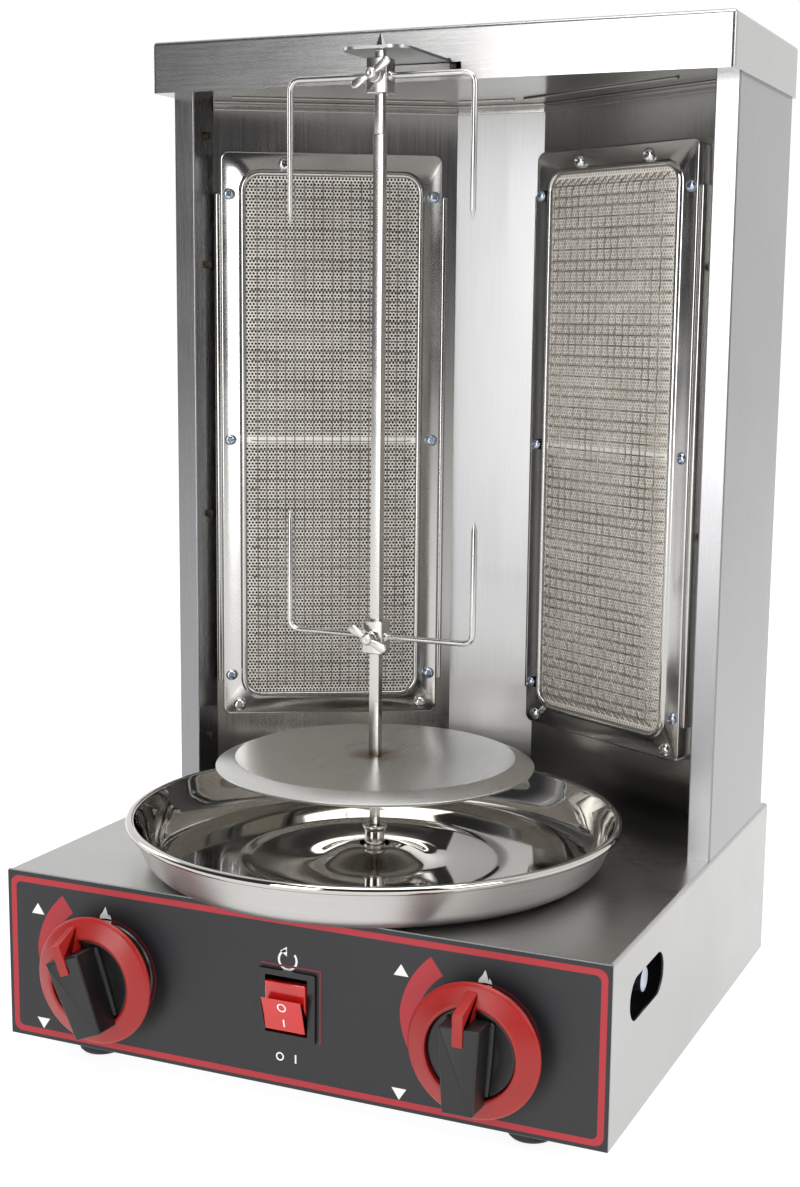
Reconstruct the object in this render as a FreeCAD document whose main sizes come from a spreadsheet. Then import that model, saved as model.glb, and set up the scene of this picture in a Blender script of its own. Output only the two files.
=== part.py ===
# Free-standing vertical rotisserie grill: a low base box with the controls, a column with
# two upright gas burners set at an angle, and a turning spit over a drip pan.
# Millimetres, +Z up. The origin is on the floor, under the middle of the bounding box.
import FreeCAD, Part
import Sketcher
import math
import os
import sys

V = FreeCAD.Vector
X, Y, Z = V(1, 0, 0), V(0, 1, 0), V(0, 0, 1)

doc = FreeCAD.newDocument("VerticalGrill")
sheet = doc.addObject("Spreadsheet::Sheet", "Sizes")


class Size:
    """A length or angle: the sheet formula that drives it, and the number it gives now."""

    def __init__(self, formula, number):
        self.formula = formula
        self.number = number

    def __add__(self, other):
        return Size(f"({self.formula} + {formula(other)})", self.number + number(other))

    def __radd__(self, other):
        return Size(f"({formula(other)} + {self.formula})", number(other) + self.number)

    def __sub__(self, other):
        return Size(f"({self.formula} - {formula(other)})", self.number - number(other))

    def __rsub__(self, other):
        return Size(f"({formula(other)} - {self.formula})", number(other) - self.number)

    def __mul__(self, other):
        return Size(f"({self.formula} * {formula(other)})", self.number * number(other))

    def __rmul__(self, other):
        return Size(f"({formula(other)} * {self.formula})", number(other) * self.number)

    def __truediv__(self, other):
        return Size(f"({self.formula} / {formula(other)})", self.number / number(other))

    def __neg__(self):
        return Size(f"(0 - {self.formula})", -self.number)


def formula(term):
    return term.formula if isinstance(term, Size) else repr(float(term))


def number(term):
    return term.number if isinstance(term, Size) else float(term)


def sine(angle):
    return Size(f"sin({angle.formula})", math.sin(math.radians(angle.number)))


def cosine(angle):
    return Size(f"cos({angle.formula})", math.cos(math.radians(angle.number)))


def tangent(angle):
    return Size(f"tan({angle.formula})", math.tan(math.radians(angle.number)))


row = 0


def cell(alias, amount, note):
    """Write one driving dimension into the sheet and hand it back as a Size."""
    global row
    row += 1
    sheet.set(f"A{row}", note)
    sheet.set(f"B{row}", str(amount))
    sheet.setAlias(f"B{row}", alias)
    return Size(f"Sizes.{alias}", float(amount))


# ---------------------------------------------------------------- driving dimensions
skin = cell("skin", 1.0, "sheet steel thickness")
foot_h = cell("foot_height", 8, "rubber foot height")
foot_r = cell("foot_radius", 12, "rubber foot radius")
foot_inset_x = cell("foot_inset_x", 45, "foot centre in from the base side")
foot_inset_y = cell("foot_inset_y", 20, "foot centre in from the base front and back")
base_w = cell("base_width", 340, "base box width")
base_d = cell("base_depth", 315, "base box depth")
base_h = cell("base_height", 93, "base box height")
label_t = cell("label_thickness", 0.6, "printed panel overlay thickness")
bay_d = cell("bay_depth", 178.3, "base front to column flange")
col_h = cell("column_height", 421, "column height above the base")
col_d = cell("column_depth", 122.2, "column flange to column back")
col_in = cell("column_inset", 1, "column side in from the base side")
flange_w = cell("flange_width", 13.4, "column front flange width")
wall_angle = cell("wall_angle", 30, "burner wall angle from the rear wall")
rear_w = cell("rear_wall_width", 56, "flat rear wall between the burner walls")
bay_back = cell("bay_back", 96.6, "column flange to rear wall")
cap_h = cell("cap_height", 28.6, "cap fascia height")
cap_front = cell("cap_front", 20.8, "cap overhang in front of the flange")
cap_side = cell("cap_side", 2, "cap overhang past the column side")
cap_back = cell("cap_back", 1.5, "cap overhang past the column back")
open_w = cell("burner_open_width", 104, "burner opening width")
open_h = cell("burner_open_height", 315, "burner opening height")
rim_w = cell("burner_rim", 15, "burner frame plate beside the opening")
rim_h = cell("burner_rim_ends", 14, "burner frame plate above and below the opening")
burner_left = cell("burner_shift", 3, "burners to the left of their walls' middles")
clamp_in = cell("clamp_screw_inset", 5, "clamp screw in from the burner frame's side")
rib_out = cell("frame_rib", 3, "rib standing out of the burner frame's side")
burner_z = cell("burner_centre", 220, "burner centre above the base top")
stand_off = cell("frame_stand_off", 8, "burner frame in front of the burner wall")
plenum_d = cell("plenum_depth", 36, "burner box depth behind the wall")
throat_r = cell("throat_radius", 9, "burner throat radius")
throat_in = cell("throat_offset", 4, "burner throat behind the middle of the box")
tile_t = cell("tile_thickness", 13, "ceramic tile thickness")
tile_gap = cell("tile_gap", 2, "seam between the two tiles")
mesh_out = cell("mesh_bulge", 7, "guard mesh in front of the frame plate")
shank_r = cell("burner_screw_radius", 1.9, "burner screw shank radius")
spit_y = cell("spit_from_front", 102.7, "spit axis behind the base front")
pan_r = cell("pan_radius", 135.7, "drip pan rim radius")
pan_foot_in = cell("pan_foot_inset", 21, "drip pan flat bottom in from its rim")
pan_h = cell("pan_height", 27, "drip pan height")
pan_t = cell("pan_thickness", 1, "drip pan sheet thickness")
pan_hole_r = cell("pan_hole_radius", 8.5, "hole in the drip pan's dome")
dome_r = cell("pan_dome_radius", 30, "drip pan dome radius")
dome_h = cell("pan_dome_height", 9, "drip pan dome height")
socket_r = cell("socket_radius", 5.5, "drive socket radius")
socket_h = cell("socket_height", 20, "drive socket top above the base top")
socket_floor = cell("socket_floor", 6, "drive socket's floor above the base top")
spit_side = cell("spit_side", 5.6, "square of the spit's main length")
spit_end = cell("spit_end_side", 4.6, "square of the spit's thinner ends")
spit_fit = cell("spit_fit", 0.3, "clearance all round the spit")
arm_rise = cell("arm_rise", 9.2, "top arm's underside above the column top")
arm_left = cell("arm_left_reach", 22, "top arm's left side from the spit axis")
arm_right = cell("arm_right_reach", 15.5, "top arm's right side from the spit axis")
arm_tip = cell("arm_tip", 5.5, "top arm past the spit axis")
arm_corner = cell("arm_corner", 9, "radius of the top arm's front corners")
arm_t = cell("arm_thickness", 1.5, "top arm sheet thickness")
arm_leg = cell("arm_leg", 8.75, "top arm's leg behind the cap's front")
arm_foot = cell("arm_foot", 14, "length of the top arm's foot on the ceiling plate")
arm_fit = cell("arm_fit", 0.45, "clearance round the turning spit in the top arm")
arm_gap = cell("arm_slot_gap", 0.5, "clearance round the top arm in the cap's slot")
notch_w = cell("notch_width", 6, "notch beside the cap's slot")
notch_h = cell("notch_height", 3.3, "notch below the cap's slot")
hub_gap = cell("hub_gap", 4.2, "upper fork hub below the top arm")
spit_above = cell("spit_above_arm", 0.3, "spit's square end above the top arm")
spit_nose = cell("spit_nose", 44, "spit's thinner upper end below its point")
spit_point = cell("spit_point", 6, "length of the spit's ground point")
point_r = cell("spit_point_end", 0.4, "radius left at the end of the spit's point")
disc_r = cell("disc_radius", 87, "meat disc radius")
disc_z = cell("disc_height", 59, "meat disc top above the base top")
disc_bevel = cell("disc_bevel", 10, "width of the disc's sloping edge")
disc_drop = cell("disc_drop", 4.5, "drop of the disc's sloping edge")
fork_reach = cell("fork_reach", 52.3, "fork prong from the spit axis")
fork_reach_long = cell("fork_reach_long", 56, "lower right prong from the spit axis")
fork_len_up = cell("upper_prong", 73, "upper fork prong length")
fork_len_low = cell("lower_prong", 66, "lower fork prong length")
fork_low_z = cell("lower_fork", 125, "lower fork wire above the base top")
wire_r = cell("fork_wire_radius", 1.6, "fork wire radius")
hub_side = cell("fork_hub_side", 11.5, "fork hub square")
hub_h = cell("fork_hub_height", 18, "fork hub height")
screw_r = cell("wing_screw_radius", 2, "wing screw shank radius")
knob_x = cell("knob_offset", 106.7, "knob axis from the middle")
knob_z = cell("knob_height", 45, "knob axis above the base bottom")
knob_r = cell("knob_radius", 34.2, "knob ring radius")
grip_r = cell("knob_hub_radius", 23, "knob hub radius")
knob_out = cell("knob_reach", 35.5, "knob front before the base front")
knob_gap = cell("knob_gap", 5, "knob hub to panel")
stem_r = cell("stem_radius", 4, "valve stem radius")
running = cell("running_fit", 0.05, "radial clearance of a turning fit")
knob_turn = cell("left_knob_turn", 22, "left knob turned from its off mark")
bezel_w = cell("switch_width", 32.4, "rocker switch bezel width")
bezel_h = cell("switch_height", 36.4, "rocker switch bezel height")
bezel_lip_x = cell("switch_side_lip", 1.5, "switch bezel past its case at the sides")
bezel_lip_z = cell("switch_end_lip", 0.6, "switch bezel past its case at the ends")
rocker_w = cell("rocker_width", 22.9, "rocker width")
slot_l = cell("slot_length", 58, "side slot length")
slot_w = cell("slot_width", 22.5, "side slot width")
slot_y = cell("slot_from_front", 58.5, "side slot centre behind the base front")
slot_z = cell("slot_height", 63, "side slot centre above the base bottom")
pipe_r = cell("manifold_radius", 8, "gas manifold pipe radius")
feed_back = cell("manifold_offset", 8, "manifold axis behind the side slot's centre")
plug_r = cell("plug_radius", 6.2, "manifold plug radius")
plug_gap = cell("plug_gap", 3, "manifold plug to the base side")
tube_r = cell("gas_tube_radius", 4, "gas tube radius")
inlet_x = cell("inlet_offset", 60, "gas inlet from the middle")
inlet_z = cell("inlet_height", 55, "gas inlet above the base bottom")
inlet_out = cell("inlet_reach", 22, "gas inlet thread behind the base back")
inlet_r = cell("inlet_radius", 6.58, "gas inlet thread radius")
gland_x = cell("gland_offset", 110, "cord gland from the middle")
gland_r = cell("gland_radius", 8, "cord gland body radius")
cord_r = cell("cord_hole_radius", 3.5, "cord hole in the gland")
motor_r = cell("motor_radius", 25, "gear motor radius")
motor_h = cell("motor_height", 30, "gear motor height")
motor_drop = cell("motor_drop", 26, "motor top below the base top")
shaft_r = cell("shaft_radius", 4, "drive shaft radius")
bush_r = cell("bush_radius", 7.4, "shaft bush radius")
doc.recompute()

# ---------------------------------------------------------------- places worked out from them
mid = (knob_out - inlet_out) / 2
front = mid - base_d / 2
back = mid + base_d / 2
deck = foot_h + base_h
flange = front + bay_d
col_back = flange + col_d
col_x = base_w / 2 - col_in
col_top = deck + col_h
bay_x = col_x - flange_w
rear_y = flange + bay_back
wall_run = bay_x - rear_w / 2
wall_len = wall_run / cosine(wall_angle)
wall_y = rear_y - wall_run * tangent(wall_angle)
axis_y = front + spit_y
burner_mid = deck + burner_z
knob_axis_z = foot_h + knob_z
slot_at_y = front + slot_y
slot_at_z = foot_h + slot_z
feed_y = slot_at_y + feed_back
inlet_at_z = foot_h + inlet_z
fascia_y = flange - cap_front
arm_low = col_top + arm_rise
upper_level = arm_low - hub_gap - hub_h / 2
lower_level = deck + fork_low_z
nose_top = arm_low + arm_t + spit_above
end_corner = spit_end / math.sqrt(2)
shell_front = front + label_t + skin
throat_out = (bay_x + rear_w / 2) / 2 + (plenum_d / 2 + throat_in) * sine(wall_angle)
throat_mid = (wall_y + rear_y) / 2 + (plenum_d / 2 + throat_in) * cosine(wall_angle)
shift_x, shift_y = -burner_left * cosine(wall_angle), burner_left * sine(wall_angle)
THROATS = {way: (way * throat_out + shift_x, throat_mid + way * shift_y) for way in (-1, 1)}
pan_foot_r = pan_r - pan_foot_in
case_w = bezel_w - 2 * bezel_lip_x
case_h = bezel_h - 2 * bezel_lip_z
SIDES = (("left", -1), ("right", 1))

nodes = []


# ---------------------------------------------------------------- ways of making pieces
def bind(thing, **terms):
    for name, term in terms.items():
        thing.setExpression(name, formula(term))
    return thing


def place(thing, x=0, y=0, z=0, axis=None, angle=0):
    """Put a piece where the sheet says; a turned piece keeps its axis and binds its angle."""
    if axis is not None:
        thing.Placement = FreeCAD.Placement(V(), FreeCAD.Rotation(axis, number(angle)))
        thing.setExpression(".Placement.Rotation.Angle", formula(angle))
    for letter, term in zip("xyz", (x, y, z)):
        thing.setExpression(".Placement.Base." + letter, formula(term))
    return thing


def box(name, x, y, z):
    """A block between two ends on each axis."""
    block = doc.addObject("Part::Box", name)
    bind(block, Length=x[1] - x[0], Width=y[1] - y[0], Height=z[1] - z[0])
    return place(block, x[0], y[0], z[0])


def rod(name, radius, length, x, y, z, axis="z"):
    """A round bar that starts at a point and runs along +x, +y or +z."""
    bar = bind(doc.addObject("Part::Cylinder", name), Radius=radius, Height=length)
    turns = {"z": None, "x": (Y, 90), "y": (X, -90)}
    if turns[axis] is None:
        return place(bar, x, y, z)
    return place(bar, x, y, z, *turns[axis])


def fuse(name, *shapes):
    joined = doc.addObject("Part::MultiFuse", name)
    joined.Shapes = list(shapes)
    return joined


def group(name, *shapes):
    """Separate solids kept in one piece, such as a set of like screws."""
    kept = doc.addObject("Part::Compound", name)
    kept.Links = list(shapes)
    return kept


def cut(name, base, *tools):
    tool = tools[0] if len(tools) == 1 else fuse(name + "_tool", *tools)
    made = doc.addObject("Part::Cut", name)
    made.Base = base
    made.Tool = tool
    return made


def rounded(name, base, radius, wanted):
    """Round the edges of base that the test wanted picks, by the direction and middle of each."""
    doc.recompute()
    picked = []
    for index, edge in enumerate(base.Shape.Edges, start=1):
        ends = edge.Vertexes
        if len(ends) == 2 and wanted(ends[1].Point - ends[0].Point, edge.CenterOfMass):
            picked.append((index, float(radius), float(radius)))
    if not picked:
        sys.exit(f"no edge to round on {name}")
    made = doc.addObject("Part::Fillet", name)
    made.Base = base
    made.Edges = picked
    return made


def upright(run, _centre):
    return abs(run.x) < 1e-6 and abs(run.y) < 1e-6


def outline(body, plane, corners):
    """A closed sketch on one of the body's own planes, each corner held from the origin."""
    sketch = body.newObject("Sketcher::SketchObject", "Outline")
    own = [f for f in body.Origin.OriginFeatures if f.Role == plane]
    sketch.AttachmentSupport = [(own[0], "")]
    sketch.MapMode = "FlatFace"
    points = [V(number(a), number(b), 0) for a, b in corners]
    for start, end in zip(points, points[1:] + points[:1]):
        sketch.addGeometry(Part.LineSegment(start, end), False)
    count = len(points)
    for i in range(count):
        sketch.addConstraint(Sketcher.Constraint("Coincident", i, 2, (i + 1) % count, 1))
    for i, (a, b) in enumerate(corners):
        for kind, term in (("DistanceX", a), ("DistanceY", b)):
            held = sketch.addConstraint(Sketcher.Constraint(kind, -1, 1, i, 1, number(term)))
            sketch.setExpression(f"Constraints[{held}]", formula(term))
    return sketch


def turned(name, corners):
    """A lathe-turned piece: radius and height pairs spun about the body's own Z axis."""
    body = doc.addObject("PartDesign::Body", name)
    sketch = outline(body, "XZ_Plane", corners)
    spun = body.newObject("PartDesign::Revolution", name + "_turn")
    spun.Profile = sketch
    spun.ReferenceAxis = (sketch, ["V_Axis"])
    spun.Angle = 360
    body.Tip = spun
    return body


def pressed(name, plane, corners, length, midplane=False):
    """A folded or extruded piece: an outline on one plane, drawn out along its normal."""
    body = doc.addObject("PartDesign::Body", name)
    sketch = outline(body, plane, corners)
    drawn = body.newObject("PartDesign::Pad", name + "_pad")
    drawn.Profile = sketch
    drawn.Midplane = midplane
    bind(drawn, Length=length)
    body.Tip = drawn
    return body


def facing_out(body, x, y, z, angle=0):
    """Stand a turned piece on the panel: its own +Z points out of the panel, towards -Y."""
    spin = FreeCAD.Rotation(V(0, -1, 0), float(angle))
    body.Placement = FreeCAD.Placement(V(), spin * FreeCAD.Rotation(X, 90))
    return place(body, x, y, z)


def solid(name, shape):
    """A piece whose shape comes straight from the geometry kernel, such as a bent wire."""
    piece = doc.addObject("Part::Feature", name)
    piece.Shape = shape
    return piece


def bent(points, radius, bend):
    """A round bar along straight runs joined by tangent arcs of one bend radius."""
    points = [V(*(number(c) for c in p)) for p in points]
    edges, start = [], points[0]
    for before, corner, after in zip(points, points[1:], points[2:]):
        come, leave = (corner - before).normalize(), (after - corner).normalize()
        turn = come.getAngle(leave)
        reach = number(bend) * math.tan(turn / 2)
        first, last = corner - come * reach, corner + leave * reach
        inward = (leave - come).normalize()
        middle = corner + inward * (number(bend) / math.cos(turn / 2) - number(bend))
        edges += [Part.LineSegment(start, first).toShape(), Part.Arc(first, middle, last).toShape()]
        start = last
    edges.append(Part.LineSegment(start, points[-1]).toShape())
    path = Part.Wire(edges)
    ring = Part.Wire(Part.Circle(points[0], points[1] - points[0], number(radius)).toShape())
    return path.makePipeShell([ring], True, True)


def node(name, thing):
    thing.Label = name
    nodes.append(thing)
    return thing


# ---------------------------------------------------------------- base box
half = base_w / 2
hull = box("shell_outside", (-half, half), (shell_front, back), (foot_h, deck))
inside = box("shell_inside", (skin - half, half - skin), (shell_front - 1, back + 1),
             (foot_h - 1, deck - skin))
hull = rounded("shell_folds", hull, 2, lambda run, at: abs(run.y) > 1 and at.z > number(deck) - 1)
slot_bar = box("slot_middle", (-half - 1, half + 1),
               (slot_at_y - (slot_l - slot_w) / 2, slot_at_y + (slot_l - slot_w) / 2),
               (slot_at_z - slot_w / 2, slot_at_z + slot_w / 2))
slot_ends = [rod(f"slot_end_{end}", slot_w / 2, base_w + 2, -half - 1,
                 slot_at_y + way * (slot_l - slot_w) / 2, slot_at_z, "x")
             for end, way in (("front", -1), ("rear", 1))]
bush_hole = rod("bush_hole", bush_r, 10, 0, axis_y, deck - 5)
risers = [rod(f"riser_hole_{side}", throat_r + 5, 10, *THROATS[way], deck - 5)
          for side, way in SIDES]
node("base_shell", cut("base_shell", hull, inside, slot_bar, *slot_ends, bush_hole, *risers))

inlet_hole = rod("inlet_hole", inlet_r + 2, 6, inlet_x, back - 4, inlet_at_z, "y")
gland_hole = rod("gland_hole", gland_r - 2, 6, -gland_x, back - 4, inlet_at_z, "y")
back_vents = [box(f"back_vent_{n}", (-30, 30), (back - 4, back + 4),
                  (foot_h + 22 + 10 * n, foot_h + 26 + 10 * n)) for n in range(5)]
back_plate = box("back_sheet", (skin - half, half - skin), (back - skin, back),
                 (foot_h + skin, deck - skin))
node("base_back", cut("base_back", back_plate, inlet_hole, gland_hole, *back_vents))

floor_sheet = box("floor_sheet", (skin - half, half - skin), (shell_front, back),
                  (foot_h, foot_h + skin))
foot_x, foot_y = base_w / 2 - foot_inset_x, base_d / 2 - foot_inset_y
corners = [(way_x * foot_x, mid + way_y * foot_y) for way_x in (-1, 1) for way_y in (-1, 1)]
foot_holes = [rod(f"foot_hole_{n}", 2.2, 8, x, y, foot_h - 2) for n, (x, y) in enumerate(corners)]
floor_vents = [box(f"floor_vent_{n}", (-70 + 30 * n, -54 + 30 * n), (mid + 20, mid + 70),
                   (foot_h - 2, foot_h + 4)) for n in range(5)]
node("bottom_plate", cut("bottom_plate", floor_sheet, *foot_holes, *floor_vents))

stem_holes = [rod(f"stem_hole_{n}", stem_r + 3, 12, way * knob_x, front - 5, knob_axis_z, "y")
              for n, way in enumerate((-1, 1))]
switch_hole = box("switch_hole", (-case_w / 2, case_w / 2), (front - 5, front + 9),
                  (knob_axis_z - case_h / 2, knob_axis_z + case_h / 2))
panel_sheet = box("panel_sheet", (-half, half), (front + label_t, shell_front), (foot_h, deck))
node("front_panel", cut("front_panel", panel_sheet, *stem_holes, switch_hole))
overlay = box("overlay_sheet", (-half, half), (front, front + label_t), (foot_h + 0.4, deck - 0.6))
node("panel_overlay", cut("panel_overlay", overlay, *stem_holes, switch_hole))

feet = []
for n, (x, y) in enumerate(corners):
    foot = turned(f"foot_{n}", [(0, 3), (3.2, 3), (3.2, 0), (foot_r - 1.5, 0), (foot_r, 1.5),
                                (foot_r - 1, foot_h - 1), (foot_r - 2, foot_h), (0, foot_h)])
    feet.append(place(foot, x, y, 0))
node("rubber_feet", group("rubber_feet", *feet))
foot_screws = [fuse(f"foot_screw_{n}", rod(f"foot_shank_{n}", 2, foot_h + skin, x, y, foot_h),
                    rod(f"foot_nut_{n}", 3.5, 3, x, y, foot_h + skin))
               for n, (x, y) in enumerate(corners)]
node("foot_screws", group("foot_screws", *foot_screws))

# ---------------------------------------------------------------- column
for side, way in SIDES:
    strip = [(col_x, flange), (col_x, col_back - skin), (col_x - skin, col_back - skin),
             (col_x - skin, flange + skin), (bay_x + skin, flange + skin),
             (bay_x + skin, wall_y), (bay_x, wall_y), (bay_x, flange)]
    name = f"column_side_{side}"
    made = pressed(name + "_strip", "XY_Plane", [(way * x, y) for x, y in strip], col_h)
    place(made, 0, 0, deck)
    folded = rounded(name, made, 0.9, lambda run, at: upright(run, at)
                     and at.y < number(flange) + 0.1)
    node(name, folded)

col_sheet = box("column_sheet", (-col_x, col_x), (col_back - skin, col_back), (deck, col_top))
louvres = [box(f"louvre_{n}", (-50 + 26 * (n % 5) - 9, -50 + 26 * (n % 5) + 7),
               (col_back - 4, col_back + 4),
               (col_top - 60 - 14 * (n // 5), col_top - 55 - 14 * (n // 5))) for n in range(20)]
node("column_back", cut("column_back", col_sheet, *louvres))
node("rear_wall", box("rear_wall", (-rear_w / 2, rear_w / 2), (rear_y, rear_y + skin),
                      (deck, col_top)))

cap_outer = box("cap_outside", (-col_x - cap_side, col_x + cap_side),
                (fascia_y, col_back + cap_back), (col_top, col_top + cap_h))
cap_outer = rounded("cap_corners", cap_outer, 2.5, lambda run, at: upright(run, at)
                    or at.z > number(col_top) + 5)
cap_inner = box("cap_inside", (-col_x - cap_side + skin, col_x + cap_side - skin),
                (fascia_y + skin, col_back + cap_back - skin),
                (col_top - 1, col_top + cap_h - skin))
through_fascia = (fascia_y - 1, fascia_y + skin + 1)
fascia_slot = box("fascia_slot", (-arm_left - arm_gap, arm_right + arm_gap), through_fascia,
                  (arm_low - arm_gap, arm_low + arm_t + arm_gap))
fascia_notch = box("fascia_notch", (arm_right, arm_right + arm_gap + notch_w), through_fascia,
                   (arm_low - arm_gap - notch_h, arm_low))
node("top_cap", cut("top_cap", cap_outer, cap_inner, fascia_slot, fascia_notch))
ceiling = box("ceiling_sheet", (-col_x - cap_side + skin, col_x + cap_side - skin),
              (fascia_y + skin, col_back + cap_back - skin), (col_top, col_top + skin))
node("ceiling_plate", ceiling)

# The arm that steadies the spit's nose: out through the cap's slot, down behind it, and a
# foot spot-welded to the ceiling plate.
leg_y = fascia_y + arm_leg
foot_z = col_top + skin
arm_profile = [(axis_y - arm_tip, arm_low), (leg_y, arm_low), (leg_y, foot_z), (leg_y + arm_foot, foot_z),
               (leg_y + arm_foot, foot_z + arm_t), (leg_y + arm_t, foot_z + arm_t),
               (leg_y + arm_t, arm_low + arm_t), (axis_y - arm_tip, arm_low + arm_t)]
arm = pressed("arm_sheet", "YZ_Plane", arm_profile, arm_left + arm_right, True)
place(arm, (arm_right - arm_left) / 2, 0, 0)
arm = rounded("arm_corners", arm, number(arm_corner), lambda run, at: upright(run, at)
              and at.y < number(axis_y))
node("spit_arm", cut("spit_arm", arm, rod("arm_bore", end_corner + arm_fit, arm_t + 2, 0, axis_y,
                                          arm_low - 1)))


# ---------------------------------------------------------------- burners
def at_wall(thing, way, x=0, y=0):
    """Stand a piece on its wall: its -Y faces the spit and its X runs along the wall."""
    return place(thing, way * (bay_x + rear_w / 2) / 2 + x, (wall_y + rear_y) / 2 + y, burner_mid, Z,
                 -way * wall_angle)


def at_burner(thing, way):
    """Stand a burner piece on its wall, a little to the left of the wall's middle."""
    return at_wall(thing, way, shift_x, way * shift_y)


def along_y(run, _centre):
    return abs(run.x) < 1e-6 and abs(run.z) < 1e-6


def screw(name, head_r, head_t, shank_r, length, x, y, z):
    """A pan-head screw driven along +Y, with its head standing in front of y."""
    return fuse(name, rod(name + "_head", head_r, head_t, x, y - head_t, z, "y"),
                rod(name + "_shank", shank_r, length, x, y, z, "y"))


frame_w, frame_h = open_w + 2 * rim_w, open_h + 2 * rim_h
box_w, box_h = open_w + 10, open_h + 10
plate_y = -(stand_off + skin)
tile_y = skin - stand_off + 3
tile_w = box_w / 2 - skin - 0.2
tile_h = box_h / 2 - skin - 0.2
shank_l = stand_off / 2
clamp_places = [(across * (frame_w / 2 - clamp_in), up * (open_h / 2 - 11))
                for up in (-1, 0, 1) for across in (-1, 1)]
frame_places = [(across * (frame_w / 2 - 10), -(open_h + rim_h) / 2 - 1) for across in (-1, 1)]
frame_places += [(across * 28.5, (open_h + rim_h) / 2) for across in (-1, 1)]
zinc, chrome = [], []
for side, way in SIDES:
    sheet_wall = box(f"wall_sheet_{side}", (-wall_len / 2, wall_len / 2), (0, skin),
                     (-burner_z, col_h - burner_z))
    gap = box(f"wall_gap_{side}", (-box_w / 2 - 0.5 - burner_left, box_w / 2 + 0.5 - burner_left),
              (-skin, 2 * skin), (-box_h / 2 - 0.5, box_h / 2 + 0.5))
    node(f"burner_wall_{side}", at_wall(cut(f"burner_wall_{side}", sheet_wall, gap), way))

    shell = box(f"plenum_{side}", (-box_w / 2, box_w / 2), (tile_y, plenum_d), (-box_h / 2, box_h / 2))
    shell = rounded(f"plenum_corners_{side}", shell, 2, along_y)
    room = box(f"plenum_room_{side}", (skin - box_w / 2, box_w / 2 - skin),
               (tile_y - 1, plenum_d - skin), (skin - box_h / 2, box_h / 2 - skin))
    shell = cut(f"plenum_shell_{side}", shell, room)
    neck = rod(f"throat_{side}", throat_r, 24, 0, plenum_d / 2 + throat_in, -box_h / 2 - 16)
    shell = fuse(f"plenum_throat_{side}", shell, neck)
    mixing = rod(f"throat_bore_{side}", throat_r - 1.5, 60, 0, plenum_d / 2 + throat_in,
                 -box_h / 2 - 20)
    node(f"burner_box_{side}", at_burner(cut(f"burner_box_{side}", shell, mixing), way))

    tiles = [box(f"tile_low_{side}", (-tile_w, tile_w), (tile_y, tile_y + tile_t),
                 (-tile_h, -tile_gap / 2)),
             box(f"tile_high_{side}", (-tile_w, tile_w), (tile_y, tile_y + tile_t),
                 (tile_gap / 2, tile_h))]
    node(f"ceramic_tiles_{side}", at_burner(group(f"ceramic_tiles_{side}", *tiles), way))

    plate = box(f"frame_plate_{side}", (-frame_w / 2, frame_w / 2), (plate_y, 0),
                (-frame_h / 2, frame_h / 2))
    plate = rounded(f"frame_corners_{side}", plate, 5, along_y)
    ribs = [box(f"frame_rib_{side}_{n}", (across * (frame_w / 2 + rib_out / 2) - rib_out / 2 - skin / 2,
                                          across * (frame_w / 2 + rib_out / 2) + rib_out / 2 + skin / 2),
                (plate_y + skin, 0), (rim_h + 6 - frame_h / 2, frame_h / 2 - rim_h - 10))
            for n, across in enumerate((-1, 1))]
    plate = fuse(f"frame_pressing_{side}", plate, *ribs)
    hollow = box(f"frame_hollow_{side}", (skin - frame_w / 2, frame_w / 2 - skin),
                 (plate_y + skin, 1), (skin - frame_h / 2, frame_h / 2 - skin))
    mouth = box(f"frame_mouth_{side}", (-open_w / 2, open_w / 2), (plate_y - 1, plate_y + 2 * skin),
                (-open_h / 2, open_h / 2))
    mouth = rounded(f"frame_mouth_corners_{side}", mouth, 9, along_y)
    holes = [rod(f"frame_hole_{side}_{n}", shank_r + running, 3 * skin, across, plate_y - skin, up, "y")
             for n, (across, up) in enumerate(clamp_places + frame_places)]
    node(f"burner_frame_{side}", at_burner(cut(f"burner_frame_{side}", plate, hollow, mouth, *holes), way))

    guard_w, guard_h = open_w / 2 - 0.6, open_h / 2 - 0.6
    guard = box(f"guard_outside_{side}", (-guard_w, guard_w), (plate_y - mesh_out, tile_y - 0.3),
                (-guard_h, guard_h))
    guard = rounded(f"guard_corners_{side}", guard, 8, along_y)
    hollow = box(f"guard_inside_{side}", (1.5 - guard_w, guard_w - 1.5),
                 (plate_y - mesh_out + 1.5, tile_y + 1), (1.5 - guard_h, guard_h - 1.5))
    hollow = rounded(f"guard_inside_corners_{side}", hollow, 7, along_y)
    node(f"guard_mesh_{side}", at_burner(cut(f"guard_mesh_{side}", guard, hollow), way))

    for n, (across, up) in enumerate(clamp_places):
        zinc.append(at_burner(screw(f"clamp_{side}_{n}", 3.4, 2.4, shank_r, shank_l, across, plate_y,
                                  up), way))
    for n, (across, up) in enumerate(frame_places):
        chrome.append(at_burner(screw(f"frame_screw_{side}_{n}", 3.9, 2.6, shank_r, shank_l, across,
                                    plate_y, up), way))
node("burner_clamp_screws", group("burner_clamp_screws", *zinc))
node("burner_frame_screws", group("burner_frame_screws", *chrome))

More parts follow.
